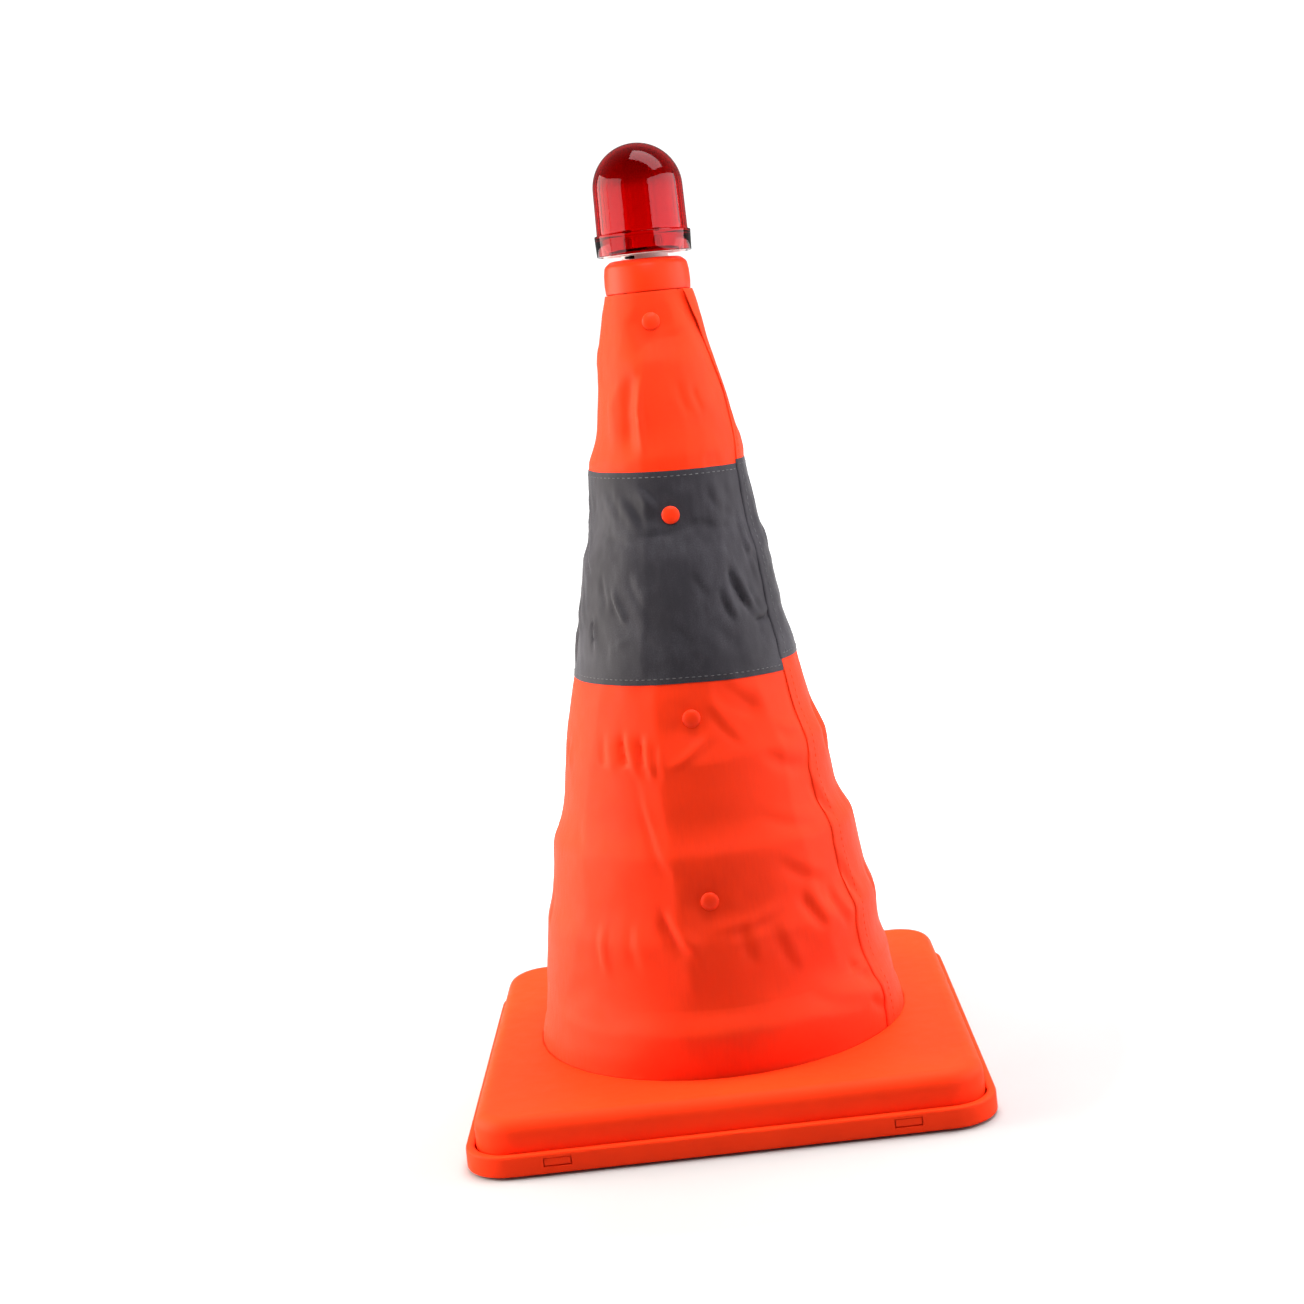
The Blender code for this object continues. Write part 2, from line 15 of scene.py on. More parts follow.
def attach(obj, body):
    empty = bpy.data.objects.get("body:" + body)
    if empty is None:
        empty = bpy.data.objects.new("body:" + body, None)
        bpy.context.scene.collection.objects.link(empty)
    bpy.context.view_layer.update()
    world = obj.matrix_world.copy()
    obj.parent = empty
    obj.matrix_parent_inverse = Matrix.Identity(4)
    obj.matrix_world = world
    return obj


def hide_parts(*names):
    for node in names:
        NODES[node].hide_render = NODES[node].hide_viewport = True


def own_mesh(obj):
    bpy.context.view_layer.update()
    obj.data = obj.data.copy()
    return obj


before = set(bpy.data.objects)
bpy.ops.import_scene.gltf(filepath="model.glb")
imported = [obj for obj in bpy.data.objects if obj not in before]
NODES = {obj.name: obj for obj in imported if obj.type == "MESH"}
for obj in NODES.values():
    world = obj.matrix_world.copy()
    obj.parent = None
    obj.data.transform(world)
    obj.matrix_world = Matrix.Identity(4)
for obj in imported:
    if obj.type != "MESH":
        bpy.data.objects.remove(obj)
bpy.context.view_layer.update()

MM = 0.001

# ------------------------------------------------------------------ camera
# the eye first, so that everything is judged through it
EYE = Vector((0.013210, -1.039363, 0.374164))
PITCH, YAW, ROLL = math.radians(6.020864), math.radians(1.513860), math.radians(-5.722899)


def make_camera():
    fwd = Vector((math.sin(YAW) * math.cos(PITCH), math.cos(YAW) * math.cos(PITCH), -math.sin(PITCH)))
    right = Vector((math.cos(YAW), -math.sin(YAW), 0.0))
    up = right.cross(fwd)
    r2 = right * math.cos(ROLL) + up * math.sin(ROLL)
    u2 = up * math.cos(ROLL) - right * math.sin(ROLL)
    data = bpy.data.cameras.new("camera")
    data.sensor_width = 36.0
    data.lens = 57.03
    data.shift_x = -0.07975
    data.shift_y = -0.07975
    data.clip_start, data.clip_end = 0.01, 50.0
    cam = bpy.data.objects.new("camera", data)
    rot = Matrix((r2, u2, -fwd)).transposed()
    cam.matrix_world = Matrix.Translation(EYE) @ rot.to_4x4()
    bpy.context.scene.collection.objects.link(cam)
    bpy.context.scene.camera = cam


make_camera()


# ------------------------------------------------------------------ materials
class Shade:
    """A Principled material with helpers for procedural detail."""

    def __init__(self, name, **fixed):
        self.mat = bpy.data.materials.new(name)
        self.mat.use_nodes = True
        self.tree = self.mat.node_tree
        self.bsdf = self.tree.nodes["Principled BSDF"]
        for key, value in fixed.items():
            self.bsdf.inputs[key.replace("_", " ")].default_value = value

    def node(self, kind, **settings):
        made = self.tree.nodes.new(kind)
        for key, value in settings.items():
            setattr(made, key, value)
        return made

    def link(self, a, b):
        self.tree.links.new(a, b)

    def coords(self, what="Object"):
        return self.node("ShaderNodeTexCoord").outputs[what]

    def noise(self, vector, scale, detail=3.0, rough=0.55, stretch=None):
        if stretch:
            m = self.node("ShaderNodeMapping")
            m.inputs["Scale"].default_value = stretch
            self.link(vector, m.inputs["Vector"])
            vector = m.outputs["Vector"]
        n = self.node("ShaderNodeTexNoise")
        n.inputs["Scale"].default_value = scale
        n.inputs["Detail"].default_value = detail
        n.inputs["Roughness"].default_value = rough
        self.link(vector, n.inputs["Vector"])
        return n.outputs["Fac"]

    def wave(self, vector, period, direction, distort=0.0):
        n = self.node("ShaderNodeTexWave", wave_type="BANDS", bands_direction=direction, wave_profile="SIN")
        n.inputs["Scale"].default_value = 2 * math.pi / (20 * period)
        n.inputs["Distortion"].default_value = distort
        n.inputs["Detail"].default_value = 1.0
        self.link(vector, n.inputs["Vector"])
        return n.outputs["Fac"]

    def math(self, op, a, b=None, clamp=False):
        n = self.node("ShaderNodeMath", operation=op, use_clamp=clamp)
        for socket, value in zip(n.inputs, (a, b)):
            if value is None:
                continue
            if isinstance(value, (int, float)):
                socket.default_value = value
            else:
                self.link(value, socket)
        return n.outputs[0]

    def ramp(self, fac, stops):
        n = self.node("ShaderNodeValToRGB")
        while len(n.color_ramp.elements) < len(stops):
            n.color_ramp.elements.new(0.5)
        for e, (at, colour) in zip(n.color_ramp.elements, stops):
            e.position = at
            e.color = (*colour, 1.0)
        self.link(fac, n.inputs["Fac"])
        return n.outputs["Color"]

    def remap(self, fac, low, high, from_low=0.0, from_high=1.0):
        n = self.node("ShaderNodeMapRange")
        n.inputs["From Min"].default_value = from_low
        n.inputs["From Max"].default_value = from_high
        n.inputs["To Min"].default_value = low
        n.inputs["To Max"].default_value = high
        self.link(fac, n.inputs["Value"])
        return n.outputs["Result"]

    def colour(self, socket):
        self.link(socket, self.bsdf.inputs["Base Color"])
        return self

    def rough(self, socket):
        self.link(socket, self.bsdf.inputs["Roughness"])
        return self

    def bump(self, height, strength, distance, after=None):
        n = self.node("ShaderNodeBump")
        n.inputs["Strength"].default_value = strength
        n.inputs["Distance"].default_value = distance
        self.link(height, n.inputs["Height"])
        if after is not None:
            self.link(after, n.inputs["Normal"])
        self.link(n.outputs["Normal"], self.bsdf.inputs["Normal"])
        return n.outputs["Normal"]


def tint(c, k):
    return tuple(min(1.0, max(0.0, x * k)) for x in c)


def moulded(name, colour, rough=0.42, spread=0.05, grain=1400.0, grain_depth=0.00002, spec=0.5, blotch=30.0, **fixed):
    """Injection-moulded plastic: spark-eroded grain, faint flow marks and slightly uneven gloss."""
    s = Shade(name, Metallic=0.0, **fixed)
    s.bsdf.inputs["Specular IOR Level"].default_value = spec
    at = s.coords()
    broad = s.noise(at, blotch, 2.0)
    fine = s.noise(at, grain, 3.0, 0.6)
    flow = s.noise(at, 90.0, 4.0, 0.6, stretch=(1.0, 1.0, 3.0))
    s.colour(s.ramp(s.math("ADD", s.math("MULTIPLY", broad, 0.7), s.math("MULTIPLY", flow, 0.3)), [(0.3, tint(colour, 1 - spread)), (0.5, colour), (0.7, tint(colour, 1 + spread))]))
    s.rough(s.remap(flow, rough - 0.05, rough + 0.07, 0.25, 0.75))
    first = s.bump(flow, 0.12, 0.0002)
    s.bump(fine, 0.35, grain_depth, first)
    return s.mat


def cloth(name, colour, deep, rough=0.56, pitch=0.00045, sheen=0.03):
    """Coated plain-weave polyester. The weave runs on the sheet's own flat size, in metres."""
    s = Shade(name, Metallic=0.0)
    s.bsdf.inputs["Specular IOR Level"].default_value = 0.07
    s.bsdf.inputs["Sheen Weight"].default_value = sheen
    s.bsdf.inputs["Sheen Roughness"].default_value = 0.45
    s.bsdf.inputs["Sheen Tint"].default_value = (1.0, 0.62, 0.5, 1.0)
    flat = s.coords("UV")
    at = s.coords()
    warp = s.wave(flat, pitch, "X", 0.6)
    weft = s.wave(flat, pitch, "Y", 0.6)
    over = s.math("MULTIPLY", warp, weft)
    under = s.math("MULTIPLY", s.math("SUBTRACT", 1.0, warp), s.math("SUBTRACT", 1.0, weft))
    weave = s.math("ADD", over, under)
    slub = s.noise(flat, 900.0, 2.0, 0.5, stretch=(1.0, 0.12, 1.0))
    broad = s.noise(at, 22.0, 3.0)
    mixed = s.math("ADD", s.math("MULTIPLY", broad, 0.62), s.math("ADD", s.math("MULTIPLY", slub, 0.22), s.math("MULTIPLY", weave, 0.16)))
    s.colour(s.ramp(mixed, [(0.25, deep), (0.5, colour), (0.75, tint(colour, 1.08))]))
    s.rough(s.remap(slub, rough - 0.06, rough + 0.07, 0.25, 0.75))
    crumple = s.noise(at, 160.0, 3.0, 0.5)
    first = s.bump(crumple, 0.10, 0.0006)
    second = s.bump(slub, 0.18, 0.00008, first)
    s.bump(weave, 0.35, 0.00006, second)
    return s.mat


def reflective_tape(name):
    """Grey retroreflective tape: glass-bead sparkle over a fine woven backing."""
    s = Shade(name, Metallic=0.0)
    s.bsdf.inputs["Specular IOR Level"].default_value = 0.12
    s.bsdf.inputs["Sheen Weight"].default_value = 0.04
    s.bsdf.inputs["Sheen Roughness"].default_value = 0.3
    flat = s.coords("UV")
    at = s.coords()
    beads = s.node("ShaderNodeTexVoronoi", feature="F1")
    beads.inputs["Scale"].default_value = 2600.0
    s.link(flat, beads.inputs["Vector"])
    bead = beads.outputs["Distance"]
    speck = s.noise(flat, 1500.0, 2.0, 0.7)
    broad = s.noise(at, 28.0, 3.0)
    scuff = s.noise(at, 260.0, 4.0, 0.65, stretch=(1.0, 1.0, 0.35))
    mixed = s.math("ADD", s.math("MULTIPLY", broad, 0.5), s.math("ADD", s.math("MULTIPLY", speck, 0.3), s.math("MULTIPLY", scuff, 0.2)))
    s.colour(s.ramp(mixed, [(0.3, (0.019, 0.0175, 0.021)), (0.5, (0.029, 0.0268, 0.032)), (0.68, (0.054, 0.051, 0.060))]))
    s.rough(s.remap(speck, 0.36, 0.58, 0.3, 0.7))
    weave = s.math("MULTIPLY", s.wave(flat, 0.00055, "X"), s.wave(flat, 0.00055, "Y"))
    first = s.bump(scuff, 0.22, 0.0003)
    second = s.bump(weave, 0.22, 0.00005, first)
    s.bump(bead, 0.25, 0.00004, second)
    return s.mat


def metal(name, colour, rough=0.3, brush=(1.0, 1.0, 12.0)):
    s = Shade(name, Metallic=1.0)
    at = s.coords()
    lines = s.noise(at, 900.0, 3.0, 0.6, stretch=brush)
    stain = s.noise(at, 120.0, 3.0)
    s.colour(s.ramp(stain, [(0.3, tint(colour, 0.82)), (0.6, colour), (0.8, tint(colour, 1.08))]))
    s.rough(s.remap(lines, rough - 0.08, rough + 0.14, 0.3, 0.7))
    s.bump(lines, 0.15, 0.00003)
    return s.mat


def rubber(name):
    s = Shade(name, Metallic=0.0)
    s.bsdf.inputs["Specular IOR Level"].default_value = 0.3
    at = s.coords()
    dust = s.noise(at, 300.0, 4.0, 0.6)
    s.colour(s.ramp(dust, [(0.35, (0.012, 0.012, 0.012)), (0.7, (0.032, 0.031, 0.03))]))
    s.rough(s.remap(dust, 0.7, 0.9, 0.3, 0.7))
    s.bump(s.noise(at, 1800.0, 2.0), 0.4, 0.00005)
    return s.mat


def clear_red(name):
    """Transparent red polycarbonate with faint draw lines and fine scratches."""
    s = Shade(name, Metallic=0.0)
    s.bsdf.inputs["Transmission Weight"].default_value = 1.0
    s.bsdf.inputs["IOR"].default_value = 1.52
    s.bsdf.inputs["Specular IOR Level"].default_value = 0.40
    at = s.coords()
    s.bsdf.inputs["Specular Tint"].default_value = (1.0, 0.55, 0.60, 1.0)
    sep = s.node("ShaderNodeSeparateXYZ")
    s.link(at, sep.inputs["Vector"])
    # the tint is painted darker over the dome, deepest at the crown, as painted shade; it stays lighter at the foot and
    # just above its bead
    height = s.math("ADD", s.remap(sep.outputs["Z"], 0.0, 0.94, 0.4165, 0.4715), s.math("MULTIPLY", s.noise(at, 60.0, 2.0), 0.06))
    s.colour(s.ramp(height, [(0.03, (0.74, 0.002, 0.004)), (0.16, (0.66, 0.002, 0.004)), (0.22, (0.72, 0.003, 0.005)), (0.58, (0.66, 0.002, 0.004)), (0.70, (0.44, 0.001, 0.002)), (1.0, (0.30, 0.0005, 0.001))]))
    marks = s.noise(at, 500.0, 4.0, 0.7, stretch=(1.0, 1.0, 0.2))
    s.rough(s.remap(marks, 0.02, 0.07, 0.4, 0.75))
    s.bump(marks, 0.03, 0.00003)
    return s.mat


def board_mat(name):
    s = Shade(name, Metallic=0.0)
    at = s.coords()
    v = s.node("ShaderNodeTexVoronoi", feature="DISTANCE_TO_EDGE")
    v.inputs["Scale"].default_value = 330.0
    s.link(at, v.inputs["Vector"])
    s.colour(s.ramp(v.outputs["Distance"], [(0.04, (0.05, 0.30, 0.12)), (0.09, (0.012, 0.13, 0.045)), (0.6, (0.010, 0.10, 0.035))]))
    s.rough(s.remap(v.outputs["Distance"], 0.3, 0.5))
    s.bump(v.outputs["Distance"], 0.2, 0.00005)
    return s.mat


def jacket(name, colour):
    s = Shade(name, Metallic=0.35)
    s.bsdf.inputs["Coat Weight"].default_value = 0.4
    s.bsdf.inputs["Coat Roughness"].default_value = 0.12
    at = s.coords()
    n = s.noise(at, 200.0, 3.0)
    sep = s.node("ShaderNodeSeparateXYZ")
    s.link(at, sep.inputs["Vector"])
    bands = s.ramp(s.remap(sep.outputs["Z"], 0.0, 1.0, 0.357, 0.405), [(0.0, (0.45, 0.45, 0.46)), (0.06, colour), (0.72, colour), (0.74, (0.55, 0.33, 0.10)), (0.93, (0.52, 0.30, 0.09)), (0.97, (0.45, 0.45, 0.46))])
    s.colour(bands)
    s.rough(s.remap(n, 0.25, 0.4))
    s.bump(n, 0.05, 0.00005)
    return s.mat


def led_mat(name):
    s = Shade(name, Metallic=0.0)
    s.bsdf.inputs["Transmission Weight"].default_value = 0.85
    s.bsdf.inputs["IOR"].default_value = 1.5
    at = s.coords()
    n = s.noise(at, 700.0, 2.0)
    s.colour(s.ramp(n, [(0.3, (0.92, 0.42, 0.36)), (0.7, (0.98, 0.55, 0.48))]))
    s.rough(s.remap(n, 0.06, 0.16))
    s.bump(n, 0.04, 0.00003)
    return s.mat


ORANGE = (0.97, 0.041, 0.0064)
M = {
    "orange": moulded("orange_moulding", ORANGE, 0.52, spread=0.06, spec=0.05),
    "cap": moulded("orange_cap", (0.86, 0.031, 0.0046), 0.36, spread=0.05, spec=0.13),
    "rivet": moulded("orange_rivet", (0.82, 0.034, 0.0060), 0.38, spec=0.12),
    "ring": moulded("red_orange_ring", (0.80, 0.045, 0.010), 0.48, spread=0.08),
    "fabric": cloth("coated_weave", (0.79, 0.033, 0.0052), (0.69, 0.025, 0.0038)),
    "band": reflective_tape("reflective_tape"),
    "rubber": rubber("foot_rubber"),
    "steel": metal("zinc_steel", (0.62, 0.63, 0.65)),
    "brass": metal("contact_brass", (0.78, 0.58, 0.27), 0.28),
    "lens": clear_red("red_polycarbonate"),
    "pale": moulded("pale_moulding", (0.86, 0.80, 0.78), 0.42, spread=0.03),
    "board": board_mat("circuit_board"),
    "led": led_mat("led_epoxy"),
    "cell": jacket("cell_jacket", (0.05, 0.055, 0.07)),
    "black": moulded("black_moulding", (0.018, 0.018, 0.018), 0.38, spread=0.15),
    "thread_grey": moulded("grey_thread", (0.105, 0.103, 0.108), 0.6, grain=3000.0, spec=0.1),
    "thread_orange": moulded("orange_thread", (1.0, 0.048, 0.009), 0.6, grain=3000.0, spec=0.1),
}


# ------------------------------------------------------------------ mesh helpers
def add_object(name, mesh, mat, body, replaces=(), smooth_angle=None):
    if smooth_angle is None:
        mesh.shade_smooth()
    else:
        mesh.shade_smooth()
        mesh.set_sharp_from_angle(angle=math.radians(smooth_angle))
    mesh.materials.append(mat)
    obj = bpy.data.objects.new(name, mesh)
    bpy.context.scene.collection.objects.link(obj)
    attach(obj, body)
    if replaces:
        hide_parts(*replaces)
    return obj


def mesh_of(name, points, faces, uvs=None):
    """points in mm, faces as lists or an (n, 4) array; uvs are per point."""
    mesh = bpy.data.meshes.new(name)
    mesh.from_pydata((np.asarray(points, float) * MM).tolist(), [], [list(map(int, f)) for f in faces])
    mesh.update()
    if uvs is not None:
        layer = mesh.uv_layers.new(name="UVMap")
        index = np.zeros(len(mesh.loops), np.int32)
        mesh.loops.foreach_get("vertex_index", index)
        layer.data.foreach_set("uv", np.asarray(uvs, np.float32)[index].ravel())
    return mesh


def from_bm(name, bm):
    bmesh.ops.recalc_face_normals(bm, faces=bm.faces)
    bmesh.ops.scale(bm, vec=(MM, MM, MM), verts=bm.verts)
    mesh = bpy.data.meshes.new(name)
    bm.to_mesh(mesh)
    bm.free()
    return mesh


def lathe(profile, seg, centre=(0.0, 0.0), wave=None):
    """A closed (r, z) outline, or an axis-to-axis line, turned round a vertical axis.
    wave(angle, r, z, index) may change the radius."""
    bm = bmesh.new()
    rows = []
    for k, (r, z) in enumerate(profile):
        if r < 1e-9:
            rows.append([bm.verts.new((centre[0], centre[1], z))])
            continue
        row = []
        for i in range(seg):
            a = 2 * math.pi * i / seg
            rr = r if wave is None else wave(a, r, z, k)
            row.append(bm.verts.new((centre[0] + rr * math.cos(a), centre[1] + rr * math.sin(a), z)))
        rows.append(row)
    capped = len(rows[0]) == 1
    pairs = list(zip(rows, rows[1:])) if capped else list(zip(rows, rows[1:] + rows[:1]))
    for low, high in pairs:
        for i in range(seg):
            j = (i + 1) % seg
            corners = []
            for v in (low[i % len(low)], low[j % len(low)], high[j % len(high)], high[i % len(high)]):
                if v not in corners:
                    corners.append(v)
            if len(corners) > 2:
                bm.faces.new(corners)
    return bm


def rounded(points, radius=0.4, steps=4):
    """An open or closed list of (r, z) corners with each corner rounded off; closed outline."""
    out = []
    n = len(points)
    for i in range(n):
        p = np.array(points[i][:2], float)
        rad = points[i][2] if len(points[i]) > 2 else radius
        a = np.array(points[(i - 1) % n][:2], float)
        b = np.array(points[(i + 1) % n][:2], float)
        u, v = a - p, b - p
        lu, lv = np.linalg.norm(u), np.linalg.norm(v)
        u, v = u / lu, v / lv
        cos = float(np.clip(u @ v, -1, 1))
        half = math.acos(cos) / 2
        if rad < 1e-6 or half > math.radians(86):
            out.append(tuple(p))
            continue
        cut = min(rad / math.tan(half), 0.45 * lu, 0.45 * lv)
        rad = cut * math.tan(half)
        s, e = p + u * cut, p + v * cut
        centre = p + (u + v) / np.linalg.norm(u + v) * (rad / math.sin(half))
        s0, e0 = s - centre, e - centre
        turn = math.pi - 2 * half
        sign = 1 if s0[0] * e0[1] - s0[1] * e0[0] > 0 else -1
        for k in range(steps + 1):
            t = turn * k / steps * sign
            c, q = math.cos(t), math.sin(t)
            out.append((centre[0] + c * s0[0] - q * s0[1], centre[1] + q * s0[0] + c * s0[1]))
    return out


def square_loop(half, corner, z, n=22):
    points = []
    for q in range(4):
        c, s = math.cos(q * math.pi / 2), math.sin(q * math.pi / 2)
        for k in range(n):
            a = math.pi / 2 * k / (n - 1)
            x, y = half - corner + corner * math.cos(a), half - corner + corner * math.sin(a)
            points.append((c * x - s * y, s * x + c * y, z))
        # points along the straight side keep the faces even
        for k in range(1, 10):
            t = k / 10
            x, y = half - corner, half
            x = x - 2 * (half - corner) * t
            points.append((c * x - s * y, s * x + c * y, z))
    return points


def round_loop(radius, z, like):
    return [(radius * math.cos(math.atan2(y, x)), radius * math.sin(math.atan2(y, x)), z) for x, y, _ in like]


def lofted(loops, close=True):
    bm = bmesh.new()
    rows = [[bm.verts.new(p) for p in loop] for loop in loops]
    pairs = list(zip(rows, rows[1:] + rows[:1])) if close else list(zip(rows, rows[1:]))
    for low, high in pairs:
        n = len(low)
        for i in range(n):
            j = (i + 1) % n
            bm.faces.new((low[i], low[j], high[j], high[i]))
    if not close:
        bm.faces.new(rows[0])
        bm.faces.new(rows[-1])
    return bm


def box_bm(low, high):
    bm = bmesh.new()
    bmesh.ops.create_cube(bm, size=1.0)
    size = [b - a for a, b in zip(low, high)]
    mid = [(a + b) / 2 for a, b in zip(low, high)]
    bmesh.ops.transform(bm, matrix=Matrix.Translation(mid) @ Matrix.Diagonal((*size, 1.0)), verts=bm.verts)
    return bm


def joined(parts):
    bm = bmesh.new()
    for p in parts:
        m = bpy.data.meshes.new("tmp")
        p.to_mesh(m)
        p.free()
        bm.from_mesh(m)
        bpy.data.meshes.remove(m)
    return bm


def turned_by(bm, degrees):
    bmesh.ops.rotate(bm, cent=(0, 0, 0), matrix=Matrix.Rotation(math.radians(degrees), 3, "Z"), verts=bm.verts)
    return bm


def cut_mesh(name, bm, cutters, operation="DIFFERENCE"):
    """The mesh, in metres, of bm with the cutters taken out or joined on, made final."""
    a = bpy.data.objects.new("cut_a", from_bm("cut_a", bm))
    b = bpy.data.objects.new("cut_b", from_bm("cut_b", cutters))
    for o in (a, b):
        bpy.context.scene.collection.objects.link(o)
    mod = a.modifiers.new("cut", "BOOLEAN")
    mod.operation = operation
    mod.solver = "EXACT"
    mod.object = b
    bpy.context.view_layer.update()
    made = bpy.data.meshes.new_from_object(a.evaluated_get(bpy.context.evaluated_depsgraph_get()))
    made.name = name
    for o in (a, b):
        bpy.data.objects.remove(o, do_unlink=True)
    return made


def smooth01(x):
    x = np.clip(x, 0.0, 1.0)
    return x * x * (3 - 2 * x)


def soft_noise(th, z, cells, cell_z, seed):
    """Smooth noise round the cone: cells columns in the full turn, cell_z mm tall."""
    rng = np.random.RandomState(seed)
    grid = rng.uniform(-1, 1, (int(520 / cell_z) + 4, cells))
    x = (np.asarray(th) % 360.0) / 360.0 * cells
    y = np.asarray(z) / cell_z + 1.0
    xi, yi = np.floor(x).astype(int), np.floor(y).astype(int)
    fx, fy = x - xi, y - yi
    sx, sy = fx**3 * (fx * (6 * fx - 15) + 10), fy**3 * (fy * (6 * fy - 15) + 10)
    x0, x1 = xi % cells, (xi + 1) % cells
    y0, y1 = np.clip(yi, 0, grid.shape[0] - 1), np.clip(yi + 1, 0, grid.shape[0] - 1)
    return (grid[y0, x0] * (1 - sx) + grid[y0, x1] * sx) * (1 - sy) + (grid[y1, x0] * (1 - sx) + grid[y1, x1] * sx) * sy


# ------------------------------------------------------------------ the cone's rule
COVER_TOP = 25.5
COLLAR_TOP = 57.0
# ring: top height, outer radius at its top, draft, rivet height
RINGS = (
    (88.0, 82.6, 0.04, None), (128.0, 74.9, 0.12, 106.9), (172.0, 65.0, 0.12, None), (220.0, 53.4, 0.16, 191.9),
    (268.0, 44.6, 0.10, None), (316.0, 37.6, 0.07, 289.1), (364.0, 27.8, 0.10, None), (397.8, 20.5, 0.09, 383.0),
)
BAND_Z = (209.8, 309.6)
LAY = 1.05     # the cloth's outer face stands this far off a ring it hugs
CLOTH_T = 0.5
# how taut the cloth is over each ring: 0 hugs the ring, 1 runs straight from rim to rim
#        left, front-left, front, front-right, right, back-right, back, back-left
TAUT = (
    (1.15, 0.80, 0.45, 0.25, 0.05, 0.3, 0.6, 0.9),
    (0.45, 0.20, 0.00, 0.10, 0.15, 0.5, 0.2, 0.5),
    (0.05, 0.00, 0.05, 0.05, -0.05, 0.3, 0.5, 0.3),
    (1.05, 0.55, 0.10, 0.30, 0.50, 0.8, 0.35, 0.7),
    (1.25, 0.95, 0.65, 0.55, 0.35, 0.6, 0.7, 0.9),
    (0.10, 0.30, 0.15, 0.35, 0.40, 0.5, 0.2, 0.3),
    (0.20, 0.25, 0.75, 1.00, 1.05, 0.8, 0.6, 0.4),
    (0.95, 0.70, 0.20, 0.70, 0.85, 0.7, 0.2, 0.6),
)
TAUT_AT = (-90, -45, 0, 45, 90, 135, 180, 225)


def wall_at(k, z):
    top, r, draft, _ = RINGS[k]
    return r + draft * (top - z)


def corner(k):
    return (COLLAR_TOP, 86.8 + LAY) if k < 0 else (RINGS[k][0], RINGS[k][1] + LAY + 0.25)


def around(values, th):
    """Smooth periodic reading of eight values given every 45 degrees from -90."""
    x = ((np.asarray(th) + 90.0) % 360.0) / 45.0
    i = np.floor(x).astype(int) % 8
    f = smooth01(x - np.floor(x))
    v = np.array(values)
    return v[i] * (1 - f) + v[(i + 1) % 8] * f


FINE_TH = np.arange(0.0, 360.0, 2.0)
FINE_Z = np.arange(4.0, 402.01, 0.5)


def base_table():
    th, z = np.meshgrid(FINE_TH, FINE_Z, indexing="ij")
    r = np.full(th.shape, 93.3)
    # the skirt: from the cover's opening up to the collar's rim
    low = z <= COLLAR_TOP
    rise = np.clip((z - COVER_TOP) / (COLLAR_TOP - COVER_TOP), 0, 1)
    straight = 93.3 + (87.85 - 93.3) * rise
    waist = 93.3 - 5.1 * smooth01(rise / 0.62) - 0.35 * rise
    full = 92.9 + 2.3 * np.sin(math.pi / 2 * np.minimum(rise / 0.72, 1.0)) ** 1.3 - 7.35 * smooth01((rise - 0.62) / 0.42)
    front = around((0.0, 0.45, 1.0, 0.85, 0.1, 0.3, 0.8, 0.4), th)
    r = np.where(low, (1 - front) * waist + front * (0.9 * full + 0.1 * straight), r)
    for k, (top, r_top, draft, _) in enumerate(RINGS):
        z0, c0 = corner(k - 1)
        z1, c1 = corner(k)
        inside = (z > z0) & (z <= z1)
        wall = wall_at(k, z) + LAY
        gap = c0 - (wall_at(k, z0) + LAY)
        ramp = min(17.0, 0.42 * (z1 - z0))
        hug = wall + gap * (1 - np.clip((z - z0) / ramp, 0, 1)) ** 1.8
        chord = c0 + (c1 - c0) * (z - z0) / (z1 - z0)
        m = around(TAUT[k], th) + 0.16 * soft_noise(th, z, 9, 60.0, 40 + k)
        r = np.where(inside, (1 - m) * hug + m * chord, r)
    r = np.where(z > RINGS[-1][0], RINGS[-1][1] + LAY, r)
    # cloth can't turn a sharp corner
    half = 8
    kernel = np.exp(-0.5 * (np.arange(-half, half + 1) * 0.5 / 1.7) ** 2)
    kernel /= kernel.sum()
    padded = np.concatenate([np.repeat(r[:, :1], half, 1), r, np.repeat(r[:, -1:], half, 1)], 1)
    return sum(kernel[i] * padded[:, i:i + r.shape[1]] for i in range(2 * half + 1))


TABLE = base_table()


def read_table(th, z):
    x = (np.asarray(th) % 360.0) / 2.0
    y = np.clip((np.asarray(z) - FINE_Z[0]) / 0.5, 0, len(FINE_Z) - 1.001)
    xi, yi = np.floor(x).astype(int), np.floor(y).astype(int)
    fx, fy = x - xi, y - yi
    n = len(FINE_TH)
    a, b = TABLE[xi % n, yi], TABLE[(xi + 1) % n, yi]
    c, d = TABLE[xi % n, yi + 1], TABLE[(xi + 1) % n, yi + 1]
    return (a * (1 - fx) + b * fx) * (1 - fy) + (c * (1 - fx) + d * fx) * fy


def ring_wall(z):
    """The outer face of whatever ring shows at this height."""
    z = np.asarray(z, float)
    out = np.interp(z, [0, COVER_TOP, COLLAR_TOP], [91.3, 91.3, 86.8])
    for k in range(len(RINGS)):
        z0 = COLLAR_TOP if k == 0 else RINGS[k - 1][0]
        out = np.where(z > z0, wall_at(k, z), out)
    return out


def spread_deg(a, b):
    return (np.asarray(a) - b + 180.0) % 360.0 - 180.0


